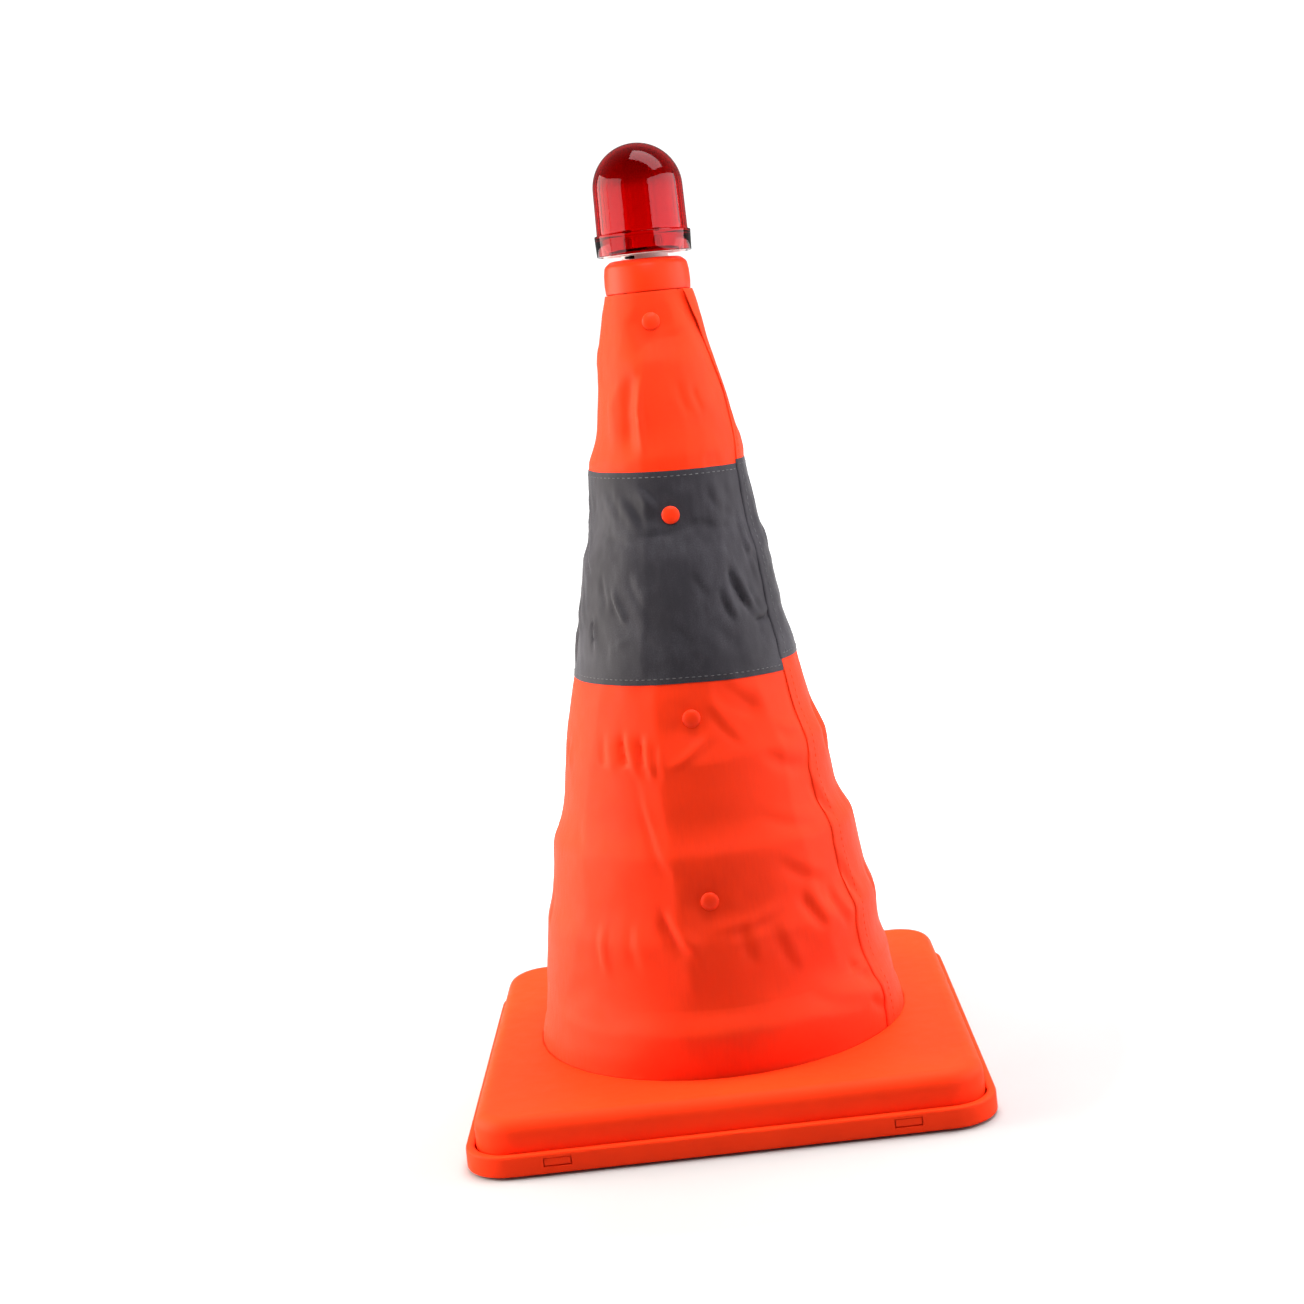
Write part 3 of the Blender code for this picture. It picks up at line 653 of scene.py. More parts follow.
# folds: from (angle, height) to (angle, height), depth in mm (valley below 0), half width in mm,
# and a companion ridge beside it as a share of the depth (its sign picks the side)
FOLDS = [
    # top panel
    (-27, 357, -29, 322, -1.5, 4.2, 0.0), (-15.5, 358, -17, 320, 0.95, 1.7, 0.0), (-20, 344, -15, 331, 0.35, 1.2, 0.0),
    (-48, 352, -46, 326, 0.7, 4.0, 0.0),
    (-14, 377.5, 38, 378.5, 0.45, 1.5, -0.6), (17, 352, 24, 336, -0.4, 2.4, 0.5), (31, 349, 36, 337, -0.4, 2.2, 0.5),
    (35, 316, 37, 309.5, -1.5, 3.2, 0.0), (-4, 371, -14, 362, 0.3, 1.8, 0.0),
    # band
    (-17, 304, -3, 291, -1.15, 1.9, -0.7), (-33, 301, -17, 284, -0.85, 2.2, -0.6), (-47, 303, -36, 289, -0.5, 2.4, -0.5),
    (-22, 279, 18, 283, -0.65, 1.4, 0.6), (18, 283, 42, 279, -0.35, 1.6, 0.5), (-52, 281, -26, 276, -0.4, 1.8, 0.5),
    (31, 260, 41, 238, -1.55, 1.9, 0.6), (23, 250, 28.5, 235, -0.9, 1.7, 0.6), (41, 252, 49, 238, -0.5, 1.6, 0.5),
    (-41.5, 254, -31.5, 239, 0.85, 1.3, -0.5), (-30, 262, -22, 246, -0.5, 2.0, 0.5), (-60, 241, -57, 226, -1.0, 1.2, 0.6),
    (-52, 262, -46, 246, -0.5, 1.7, 0.4), (-22, 234, -12, 224, -0.35, 1.5, 0.5), (-5, 236, 6, 226, -0.4, 1.8, 0.5),
    (43, 233, 57, 234, -0.75, 1.5, 0.7), (8, 262, 15, 248, -0.35, 2.0, 0.5), (51, 287, 53, 250, 0.5, 1.4, -0.4),
    (-38, 228, -28, 232, 0.35, 1.3, 0.4), (26, 300, 34, 288, -0.4, 2.0, 0.5), (47, 270, 55, 262, -0.5, 1.6, 0.5),
    # under the band and over the third ring
    (-46, 184, -41, 166, -0.75, 2.2, 0.6), (-35, 185, -30, 167, -1.35, 2.0, 0.6), (-25, 184, -22, 166, -1.3, 1.8, 0.6),
    (-17.5, 181, -16, 164, -0.65, 1.6, 0.6), (-11, 169, 7, 183, 0.75, 2.2, -0.4), (14, 204, 33, 190, -1.1, 4.6, 0.3),
    (6, 197, 20, 176, -0.5, 2.2, 0.5), (-26, 155, -15, 120, -0.55, 1.6, 0.5), (-31, 179, -26, 156, -0.35, 2.2, 0.4),
    (31, 168, 52, 158, -0.7, 3.4, 0.4), (40, 183, 55, 178, 0.5, 3.0, -0.4), (24, 140, 50, 130, -0.5, 3.0, 0.5),
    (52, 150, 60, 133, -0.8, 2.4, 0.5), (-60, 140, -52, 128, -0.35, 3.0, 0.4),
    # over the first ring
    (-41, 95, -39, 74, 0.75, 1.9, -0.5), (-30, 96, -27, 76, -0.45, 2.4, 0.5), (-17.5, 101, -10, 83, -1.6, 2.5, 0.6),
    (-7, 92, -3, 74, 0.5, 2.2, -0.4), (9, 95, 12, 75, -0.6, 2.6, 0.5), (20, 90, 26, 68, -0.6, 2.8, 0.5),
    (33, 101, 40, 84, -1.2, 3.0, 0.5), (45, 100, 52, 80, -0.8, 2.6, 0.6), (27, 118, 45, 104, -0.6, 3.0, 0.5),
    (54, 112, 62, 90, -0.7, 2.2, 0.5), (2, 93, 24, 99, 0.6, 2.4, -0.4),
    # skirt
    (30, 51, 50, 44, -0.8, 3.6, 0.4), (48, 62, 57, 50, -0.8, 2.8, 0.4), (-62, 52, -30, 49, -0.3, 3.0, 0.3),
    (52, 44, 60, 34, -0.6, 2.4, 0.4),
]


# long soft creases where the sheet turns from one flat panel to the next: path, height, spread
CREASES = (
    (((-8.3, 58), (-8.3, 81), (-9.2, 94), (-11.7, 121), (-13.2, 139), (-16.5, 172), (-16.1, 214)), 1.5, 7.0),
    (((44, 58), (40, 90), (38, 130), (40, 170), (34, 212)), 1.1, 9.0),
    (((-58, 58), (-50, 100), (-54, 150), (-48, 214)), 0.8, 9.0),
    (((-24, 205), (-20, 250), (-16, 312)), 0.8, 6.0),
    (((36, 205), (30, 250), (34, 312)), 0.8, 6.0),
    (((-18, 304), (-19, 340), (-20, 372)), 0.9, 5.0),
    (((125, 58), (120, 140), (132, 214)), 1.2, 9.0),
    (((196, 58), (190, 130), (197, 214)), 1.3, 8.0),
    (((238, 58), (244, 150), (236, 214)), 1.0, 9.0),
    (((170, 215), (176, 270), (165, 360)), 0.9, 6.0),
)


def more_folds():
    """Folds on the sides and the back, where each ring's rim gathers the slack."""
    rng = np.random.RandomState(7)
    found = []
    for k, (top, r, _, _) in enumerate(RINGS[:-1]):
        count = 9 if r > 60 else 7 if r > 40 else 5
        for i in range(count):
            th = 72 + (288 - 72) * (i + 0.5 + rng.uniform(-0.35, 0.35)) / count
            lean = rng.uniform(-5, 5) + rng.choice([-1, 1]) * 3
            long = rng.uniform(12, 24)
            mid = top + rng.uniform(-3, 6)
            found.append((th, mid + long / 2, th + lean, mid - long / 2, -rng.uniform(0.4, 1.25), rng.uniform(1.6, 2.8), rng.choice([-0.5, 0.5, 0.6])))
    for i in range(12):
        th, z = rng.uniform(75, 285), rng.uniform(222, 298)
        lean = rng.choice([-1, 1]) * rng.uniform(6, 13)
        found.append((th, z + 8, th + lean, z - 7, -rng.uniform(0.4, 1.0), rng.uniform(1.4, 2.2), 0.55))
    return found


ALL_FOLDS = FOLDS + more_folds()
RIVETS = [(side, RINGS[k][3], k) for k in range(8) if RINGS[k][3] for side in (0.0, 180.0)]


def fold_height(th, z):
    """Everything the cloth does apart from following the rings, in mm."""
    th, z = np.asarray(th, float), np.asarray(z, float)
    r = np.interp(z, [25, 57, 88, 128, 172, 220, 268, 316, 364, 398], [93, 88, 84, 76, 66, 54, 46, 39, 29, 22])
    h = np.zeros(th.shape)
    for t0, z0, t1, z1, depth, width, side in ALL_FOLDS:
        tm, zm = (t0 + t1) / 2, (z0 + z1) / 2
        near = (np.abs(z - zm) < abs(z1 - z0) / 2 + 6 * width + 6)
        if not near.any():
            continue
        rn, zn = r[near], z[near]
        x = np.radians(spread_deg(th[near], tm)) * rn
        y = zn - zm
        rm = float(np.interp(zm, [25, 57, 88, 128, 172, 220, 268, 316, 364, 398], [93, 88, 84, 76, 66, 54, 46, 39, 29, 22]))
        ax, ay = math.radians(t1 - t0) * rm, z1 - z0
        length = math.hypot(ax, ay)
        ux, uy = ax / length, ay / length
        along = (x * ux + y * uy) / (length / 2)
        across = x * -uy + y * ux
        across = across + 0.10 * length * (along**2 - 0.3) * (1 if depth * side > 0 else -1) * 0.5
        end = np.clip(1 - np.abs(along), -0.35, 1)
        taper = smooth01((end + 0.35) / 0.95)
        bump = np.exp(-(across / width) ** 2)
        if side:
            s = 1.0 if side > 0 else -1.0
            bump = bump - abs(side) * np.exp(-((across - s * 1.9 * width) / (1.25 * width)) ** 2)
        h[near] += 1.5 * depth * taper * bump
    for path, height, spread in CREASES:
        at = np.interp(z, [p[1] for p in path], [p[0] for p in path])
        x = np.radians(spread_deg(th, at)) * r
        ends = smooth01((z - path[0][1]) / 14.0) * smooth01((path[-1][1] - z) / 14.0)
        h += height * ends * np.exp(-(np.sqrt(x**2 + 0.5) - 0.7) / spread)
    broad = 0.55 * soft_noise(th, z, 11, 34.0, 3) + 0.30 * soft_noise(th, z, 23, 17.0, 4)
    fine = 0.12 * soft_noise(th, z, 44, 9.0, 5) + 0.05 * soft_noise(th, z, 90, 5.0, 6)
    tape = smooth01((z - 212) / 8) * (1 - smooth01((z - 300) / 8))
    crumple = 0.22 * soft_noise(th + 0.35 * z, z, 64, 9.0, 8) + 0.14 * soft_noise(th - 0.2 * z, z, 100, 5.0, 9)
    h += broad + fine + tape * crumple
    # sewn edges pucker a little
    for edge in BAND_Z:
        h += 0.10 * np.exp(-((z - edge) / 3.5) ** 2) * soft_noise(th, z * 0 + edge, 70, 40.0, 12)
    return h


def rivet_pull(th, z):
    """1 under a rivet's head, falling to 0 some way out."""
    r = np.interp(z, [57, 88, 128, 172, 220, 268, 316, 364, 398], [88, 84, 76, 66, 54, 46, 39, 29, 22])
    w = np.zeros(np.shape(th))
    star = np.zeros(np.shape(th))
    for side, height, _ in RIVETS:
        x, y = np.radians(spread_deg(th, side)) * r, z - height
        d = np.hypot(x, y)
        w = np.maximum(w, 1 - smooth01((d - 4.6) / 9.0))
        star += 0.42 * np.cos(5 * np.arctan2(y, x) + height) * np.exp(-((d - 9.0) / 3.2) ** 2)
    return w, star


SEAM_Z = [8, 27, 40, 52, 76, 87, 101, 120, 134, 157, 168, 184, 209, 260, 306, 322, 345, 372, 385, 398]
SEAM_TH = [60, 60, 60.4, 58.7, 56.6, 57.6, 55.6, 54.4, 56.0, 53.4, 55.6, 56.2, 56.3, 58.4, 61.5, 68, 75, 66, 55, 46]
SEAM_MEAN = 59.0


def cloth_radius(th, z):
    z = np.asarray(z, float)
    base = read_table(th, z)
    w, star = rivet_pull(th, z)
    keep_top = 1 - smooth01((z - 389) / 8.0)
    keep_low = smooth01((z - 27.0) / 9.0)
    r = base + (fold_height(th, z) + star) * keep_top * keep_low
    floor_r = ring_wall(z) + LAY - 0.35
    r = np.maximum(r, floor_r)
    flat = ring_wall(z) + LAY - 0.25
    return r * (1 - w) + flat * w


# columns: the sheet starts at the outer edge of its overlap, goes once round and ends under itself
TURN = 369.0
COLS = 260


def columns(z, cols=COLS):
    """(angle, overlap lift) for every column at each height in z."""
    u = np.linspace(0.0, 1.0, cols + 1)
    seam = np.interp(z, SEAM_Z, SEAM_TH)
    phi = u * TURN
    th = SEAM_MEAN + phi[None, :] + (seam - SEAM_MEAN)[:, None] * (1 - smooth01(phi / 30.0))[None, :] + (seam - SEAM_MEAN)[:, None] * smooth01((phi - 340.0) / 18.0)[None, :]
    lift_edge = 0.62 + 1.6 * smooth01((z - 370.0) / 14.0) * (1 - smooth01((z - 396.0) / 4.0)) + 0.14 * np.sin(z / 17.0) ** 2
    lift = lift_edge[:, None] * (1 - smooth01((phi - 9.0) / 20.0))[None, :]
    return th, lift, phi


# how far the tape's two edges stray from level round the sheet, by the angle from its outer end;
# its two ends don't meet at the same height
STRAY_AT = (0, 31, 150, 211, 256, 301, 356, 369)
STRAY_HIGH = (2.0, 2.0, 1.6, 3.0, 2.0, 0.8, 0.0, 0.0)
STRAY_LOW = (2.0, 1.8, 0.3, 0.0, -0.4, -1.0, -3.4, -3.6)


def row_heights(rows, phi):
    """Each row's height in each column: near the tape the rows climb towards the sheet's outer end."""
    low, high = np.interp(phi, STRAY_AT, STRAY_LOW)[None, :], np.interp(phi, STRAY_AT, STRAY_HIGH)[None, :]
    part = np.clip((rows - BAND_Z[0]) / (BAND_Z[1] - BAND_Z[0]), 0, 1)[:, None]
    fade = (smooth01((rows - 150.0) / 59.8) * (1 - smooth01((rows - 309.6) / 45.0)))[:, None]
    return rows[:, None] + (low * (1 - part) + high * part) * fade


def sheet_grid(rows, extra=0.0, cols=COLS):
    """Outer face of the sheet: points (rows, cols + 1, 3) plus the two columns of its turned-down outer end."""
    th, lift, phi = columns(rows, cols)
    z = row_heights(rows, phi)
    r = cloth_radius(th, z) + lift + extra
    # the outer end is turned down onto what it laps over
    th = np.concatenate([th[:, :1] - 0.30, th[:, :1] - 0.12, th], 1)
    z = np.concatenate([z[:, :1], z[:, :1], z], 1)
    r = np.concatenate([r[:, :1] - 0.50, r[:, :1] - 0.16, r], 1)
    a = np.radians(th)
    p = np.stack([r * np.sin(a), -r * np.cos(a), z], -1)
    return p


def grid_normals(p):
    du = np.gradient(p, axis=1)
    dv = np.gradient(p, axis=0)
    n = np.cross(du, dv)
    return n / np.linalg.norm(n, axis=-1, keepdims=True)


def flat_coords(p):
    """Arc lengths along the sheet, in metres, for the weave."""
    du = np.linalg.norm(np.diff(p, axis=1), axis=-1).mean(0)
    dv = np.linalg.norm(np.diff(p, axis=0), axis=-1).mean(1)
    u = np.concatenate([[0], np.cumsum(du)]) * MM
    v = np.concatenate([[0], np.cumsum(dv)]) * MM
    return np.stack(np.meshgrid(u, v), -1)


def sheet_mesh(name, outer, normals, thick, uv):
    """A closed thin sheet from its outer face."""
    inner = outer - normals * thick
    nr, nc = outer.shape[:2]
    pts = np.concatenate([outer.reshape(-1, 3), inner.reshape(-1, 3)])
    idx = np.arange(nr * nc).reshape(nr, nc)
    a, b, c, d = idx[:-1, :-1], idx[:-1, 1:], idx[1:, 1:], idx[1:, :-1]
    out_f = np.stack([a, b, c, d], -1).reshape(-1, 4)
    off = nr * nc
    in_f = np.stack([a, d, c, b], -1).reshape(-1, 4) + off
    edges = []
    for line, flip in ((idx[0, :], True), (idx[-1, :], False), (idx[:, 0], False), (idx[:, -1], True)):
        p, q = line[:-1], line[1:]
        face = np.stack([p, q, q + off, p + off], -1)
        edges.append(face[:, ::-1] if flip else face)
    faces = np.concatenate([out_f, in_f] + edges)
    uvs = np.concatenate([uv.reshape(-1, 2)] * 2)
    mesh = mesh_of(name, pts, faces, uvs)
    bm = bmesh.new()
    bm.from_mesh(mesh)
    bmesh.ops.recalc_face_normals(bm, faces=bm.faces)
    bm.to_mesh(mesh)
    bm.free()
    return mesh


def rows_between(low, high, step, keep=()):
    marks = sorted({low, high, *[k for k in keep if low < k < high]})
    out = []
    for a, b in zip(marks, marks[1:]):
        n = max(1, int(round((b - a) / step)))
        out += list(np.linspace(a, b, n + 1)[:-1])
    return np.array(out + [high])


def make_fabric():
    rows = rows_between(12.0, 397.5, 1.85, (COVER_TOP, COLLAR_TOP, BAND_Z[0], BAND_Z[1]))
    outer = sheet_grid(rows)
    normals = grid_normals(outer)
    uv = flat_coords(outer)
    split = int(np.argmin(abs(rows - COLLAR_TOP)))
    made = {}
    for name, sl, node in (("skirt_cloth", slice(0, split + 1), "fabric_skirt"), ("sleeve_cloth", slice(split, None), "fabric_sleeve")):
        part = outer[sl]
        mesh = sheet_mesh(name, part, normals[sl], CLOTH_T, uv[sl])
        obj = add_object(name, mesh, M["fabric"], "base", [node], 50)
        made[name] = (obj, part)
    b0, b1 = int(np.argmin(abs(rows - BAND_Z[0]))), int(np.argmin(abs(rows - BAND_Z[1])))
    band_outer = outer[b0:b1 + 1] + normals[b0:b1 + 1] * 0.48
    # the tape's cut edges roll down onto the cloth
    roll = np.exp(-np.minimum(np.arange(b1 - b0 + 1), np.arange(b1 - b0 + 1)[::-1]) / 0.55) * 0.22
    band_outer = band_outer - normals[b0:b1 + 1] * roll[:, None, None]
    # and its outer end wraps the sleeve's own end
    a = np.radians(-0.42)
    turn = np.array([[math.cos(a), -math.sin(a), 0], [math.sin(a), math.cos(a), 0], [0, 0, 1]])
    band_outer[:, 0] = band_outer[:, 0] @ turn.T
    band_outer[:, 1] = band_outer[:, 1] @ turn.T
    band = add_object("band_tape", sheet_mesh("band_tape", band_outer, normals[b0:b1 + 1], 0.36, uv[b0:b1 + 1]), M["band"], "base", ["reflective_band"], 50)
    made["band_tape"] = (band, band_outer)
    return made, rows, outer, normals


def stitch_line(path, normals, pitch=3.1, gap=0.8, radius=0.19, sink=0.05):
    """Thread stitches along a path on a surface, each a short bent capsule."""
    seg = np.linalg.norm(np.diff(path, axis=0), axis=1)
    dist = np.concatenate([[0], np.cumsum(seg)])
    total = dist[-1]
    parts_p, parts_f = [], []
    count = int(total / pitch)
    base = 0
    for i in range(count):
        s0 = i * pitch + gap / 2
        ts = np.linspace(s0, s0 + pitch - gap, 5)
        pts = np.stack([np.interp(ts, dist, path[:, k]) for k in range(3)], -1)
        nrm = np.stack([np.interp(ts, dist, normals[:, k]) for k in range(3)], -1)
        nrm /= np.linalg.norm(nrm, axis=1, keepdims=True)
        lift = radius * np.array([-0.9, 0.35, 0.6, 0.35, -0.9]) - sink
        pts = pts + nrm * lift[:, None]
        tan = np.gradient(pts, axis=0)
        tan /= np.linalg.norm(tan, axis=1, keepdims=True)
        side = np.cross(tan, nrm)
        wide = radius * np.array([0.45, 1.0, 1.08, 1.0, 0.45])
        ring = []
        for q in range(5):
            for j in range(6):
                a = 2 * math.pi * j / 6
                ring.append(pts[q] + wide[q] * (math.cos(a) * side[q] + math.sin(a) * nrm[q]))
        parts_p.append(np.array(ring))
        for q in range(4):
            for j in range(6):
                k = (j + 1) % 6
                parts_f.append((base + q * 6 + j, base + q * 6 + k, base + (q + 1) * 6 + k, base + (q + 1) * 6 + j))
        parts_f.append(tuple(base + j for j in range(5, -1, -1)))
        parts_f.append(tuple(base + 24 + j for j in range(6)))
        base += 30
    return np.concatenate(parts_p), parts_f


def make_stitching(made, rows, outer, normals):
    pieces = []

    def along_row(z, name, grid, norm, grid_rows, mat):
        j = np.interp(z, grid_rows, np.arange(len(grid_rows)))
        j0, f = int(j), j - int(j)
        path = grid[j0] * (1 - f) + grid[min(j0 + 1, len(grid) - 1)] * f
        nn = norm[j0] * (1 - f) + norm[min(j0 + 1, len(norm) - 1)] * f
        last = path.shape[0] - 7   # the rest lies under the overlap
        p, f4 = stitch_line(path[3:last], nn[3:last])
        mesh = mesh_of(name, p, f4)
        obj = add_object(name, mesh, mat, "base", ())
        pieces.append(obj)

    b0, b1 = int(np.argmin(abs(rows - BAND_Z[0]))), int(np.argmin(abs(rows - BAND_Z[1])))
    band = made["band_tape"][1]
    for z, name in ((BAND_Z[0] + 2.6, "stitch_band_low"), (BAND_Z[1] - 2.6, "stitch_band_high")):
        along_row(z, name, band, normals[b0:b1 + 1], rows[b0:b1 + 1], M["thread_grey"])
    # the overlap is sewn down along its edge, on the sleeve, the tape and the skirt
    split = int(np.argmin(abs(rows - COLLAR_TOP)))
    for name, sl, mat, slot in (("stitch_seam_skirt", slice(6, split), "thread_orange", "orange_fabric"), ("stitch_seam_low", slice(split + 1, b0), "thread_orange", "orange_fabric"), ("stitch_seam_high", slice(b1 + 1, len(rows) - 14), "thread_orange", "orange_fabric")):
        path = outer[sl, 5] * 0.5 + outer[sl, 6] * 0.5
        nn = normals[sl, 5]
        p, f4 = stitch_line(path, nn, pitch=3.4)
        obj = add_object(name, mesh_of(name, p, f4), M[mat], "base", ())
        pieces.append(obj)
    path, nn = band[1:-1, 5] * 0.5 + band[1:-1, 6] * 0.5, normals[b0 + 1:b1, 5]
    p, f4 = stitch_line(path, nn, pitch=3.4)
    obj = add_object("stitch_seam_band", mesh_of("stitch_seam_band", p, f4), M["thread_grey"], "base", ())
    pieces.append(obj)
    return pieces


# ------------------------------------------------------------------ base
def make_base():
    rim, rc = 125.0, 22.7
    ledge, inner = 120.72, 122.6
    z0 = 0.8
    prof = [(rim - 0.9, z0), (rim - 0.35, z0 + 0.15), (rim - 0.05, z0 + 0.6)]
    prof += [(rim + 0.0, z0 + 1.2), (rim - 0.02, 5.0), (rim - 0.05, 9.2)]
    prof += [(rim - 0.17, 9.9), (rim - 0.5, 10.35), (rim - 1.0, 10.5), (rim - 2.4, 10.5), (rim - 3.7, 10.42), (ledge + 0.15, 10.2), (ledge, 9.9), (ledge, 9.0)]
    prof += [(inner, 9.0), (inner, 3.6), (inner - 0.4, 3.2)]
    loops = [square_loop(h, rc - (rim - h), z) for h, z in prof]
    tray = lofted(loops, close=False)
    windows, holes = [], []
    for q in range(4):
        for side in (-1, 1):
            x = side * 81.0
            windows.append(turned_by(box_bm((x - 6.5, -rim - 2, 4.2), (x + 6.5, -inner + 1, 8.4)), 90 * q))
    for sx in (-1, 1):
        for sy in (-1, 1):
            holes.append(lathe([(0, -2), (8.3, -2), (8.3, 2.0), (0, 2.0)], 40, (sx * 98.0, sy * 98.0)))
    for a in (45, 135, 225, 315):
        c = (101.0 * math.cos(math.radians(a)), 101.0 * math.sin(math.radians(a)))
        holes.append(lathe([(0, -2), (3.4, -2), (3.4, 2.2), (1.8, 2.2), (1.8, 6), (0, 6)], 28, c))
    # shallow moulded rings under the floor
    for r0, r1 in ((60.0, 62.0), (84.0, 86.0)):
        holes.append(lathe([(r0, -1), (r1, -1), (r1, 1.3), (r0, 1.3)], 96))
    mesh = cut_mesh("tray_shell", tray, joined(windows))
    bm = bmesh.new()
    bm.from_mesh(mesh)
    bmesh.ops.scale(bm, vec=(1000, 1000, 1000), verts=bm.verts)
    mesh = cut_mesh("tray_shell", bm, joined(holes))
    add_object("tray_shell", mesh, M["orange"], "base", ["base_tray"], 32)

    # small moulding marks on the front of the rim
    marks = []
    for x, w, z1, z2 in ((-19.0, 0.7, 7.6, 10.2), (2.5, 4.5, 10.2, 10.45), (88.6, 0.5, 8.4, 10.3)):
        marks.append(box_bm((x - w / 2, -rim - 0.16, z1), (x + w / 2, -rim + 0.3, z2)))
    mk = from_bm("rim_marks", joined(marks))
    obj = add_object("rim_marks", mk, M["orange"], "base", (), 32)
    mod = obj.modifiers.new("soft", "BEVEL")
    mod.width, mod.segments = 0.00007, 2

    ch, cc, top = 120.3, 21.0, COVER_TOP
    r, open_r = 7.6, 93.55
    outer = [(ch - 0.15, 4.0), (ch, 6.0), (ch - 0.02, 9.0), (ch - 0.12, top - r)]
    loops = [square_loop(h, cc - (ch - h), z) for h, z in outer]
    for k in range(1, 13):
        a = math.pi / 2 * k / 12
        s, c = math.sin(a) ** 0.92, math.cos(a) ** 0.92
        h = ch - 0.12 - r * (1 - c)
        loops.append(square_loop(h, cc - (ch - h), top - r + r * s))
    like = loops[-1]
    flat = square_loop(ch - r - 3.0, cc - r - 3.0, top, 22)
    loops.append(flat)
    for rr, z in ((open_r + 1.6, top), (open_r + 0.9, top - 0.03), (open_r + 0.3, top - 0.22), (open_r, top - 0.7), (open_r, 14.8), (open_r + 0.3, 14.5), (open_r + 2.4, 14.5), (open_r + 2.4, top - 2.2)):
        loops.append(round_loop(rr, z, like))
    for h, z in ((ch - r, top - 2.2), (ch - 2.2 - 2.2, top - 3.4), (ch - 2.2, top - r), (ch - 2.2, 4.0)):
        loops.append(square_loop(h, max(cc - (ch - h), 4.0), z))
    tabs = []
    for q in range(4):
        for side in (-1, 1):
            x = side * 81.0
            tabs.append(turned_by(box_bm((x - 6.0, -rim + 0.28, 4.85), (x + 6.0, -ch + 0.8, 8.0)), 90 * q))
    mesh = cut_mesh("cover_shell", lofted(loops), joined(tabs), "UNION")
    add_object("cover_shell", mesh, M["orange"], "base", ["base_cover"], 32)

    for sy, fb in ((-1, "front"), (1, "back")):
        for sx, lr in ((-1, "left"), (1, "right")):
            prof = [(0, 0.25), (1.6, 0.25), (1.8, 0.0), (2.6, 0.0), (2.8, 0.25), (3.8, 0.25), (4.0, 0.0), (4.8, 0.0), (5.0, 0.25), (6.0, 0.25), (6.2, 0.0), (7.3, 0.0), (7.8, 0.2), (8.0, 0.7), (8.0, 1.7), (0, 1.7)]
            add_object(f"foot_{fb}_{lr}", from_bm("foot", lathe(prof, 48, (sx * 98.0, sy * 98.0))), M["rubber"], "base", [f"foot_pad_{fb}_{lr}"], 35)


# ------------------------------------------------------------------ cap, rivets, beacon
def make_cap():
    z0, z1 = 397.8, 414.2
    outline = [(19.3, z0, 0.15), (21.15, z0, 0.45), (21.45, z0 + 4.5, 2.0), (21.25, z0 + 9.5, 3.0), (20.6, z1 - 2.6, 3.4), (17.4, z1 - 0.05, 3.2), (12.1, z1 - 0.1, 0.5),
               (12.1, 385.8, 0.2), (13.5, 385.8, 0.2), (13.5, z1 - 2.2, 0.2), (19.3, z1 - 2.2, 0.2)]
    mesh = from_bm("cap_shell", lathe(rounded(outline, 0.3, 6), 128))
    add_object("cap_shell", mesh, M["cap"], "ring_top", ["top_cap"], 40)


def make_rivets():
    for k, (_, _, _, height) in enumerate(RINGS):
        if height is None:
            continue
        wall = wall_at(k, height)
        seat = 1.35 + (0.7 if BAND_Z[0] < height < BAND_Z[1] else 0.0)
        for d, word in ((-1, "front"), (1, "back")):
            head = [(0, seat + 1.55), (1.2, seat + 1.52), (2.4, seat + 1.36), (3.3, seat + 1.08), (3.9, seat + 0.78), (4.22, seat + 0.5), (4.38, seat + 0.25), (4.4, seat + 0.05),
                    (4.3, seat - 0.12), (4.0, seat - 0.2), (1.6, seat - 0.2), (1.3, seat - 0.5), (1.3, -3.5), (0.9, -3.9), (0, -3.9)]
            bm = lathe(head, 48)
            move = Matrix.Translation((0, d * wall, height)) @ Matrix.Rotation(math.radians(-90 * d), 4, "X")
            bmesh.ops.transform(bm, matrix=move, verts=bm.verts)
            body = "ring_top" if k == 7 else f"ring_{k + 1}"
            add_object(f"snap_{word}_{k + 1}", from_bm("snap", bm), M["rivet"], body, [f"rivet_{word}_{k + 1}"], 40)


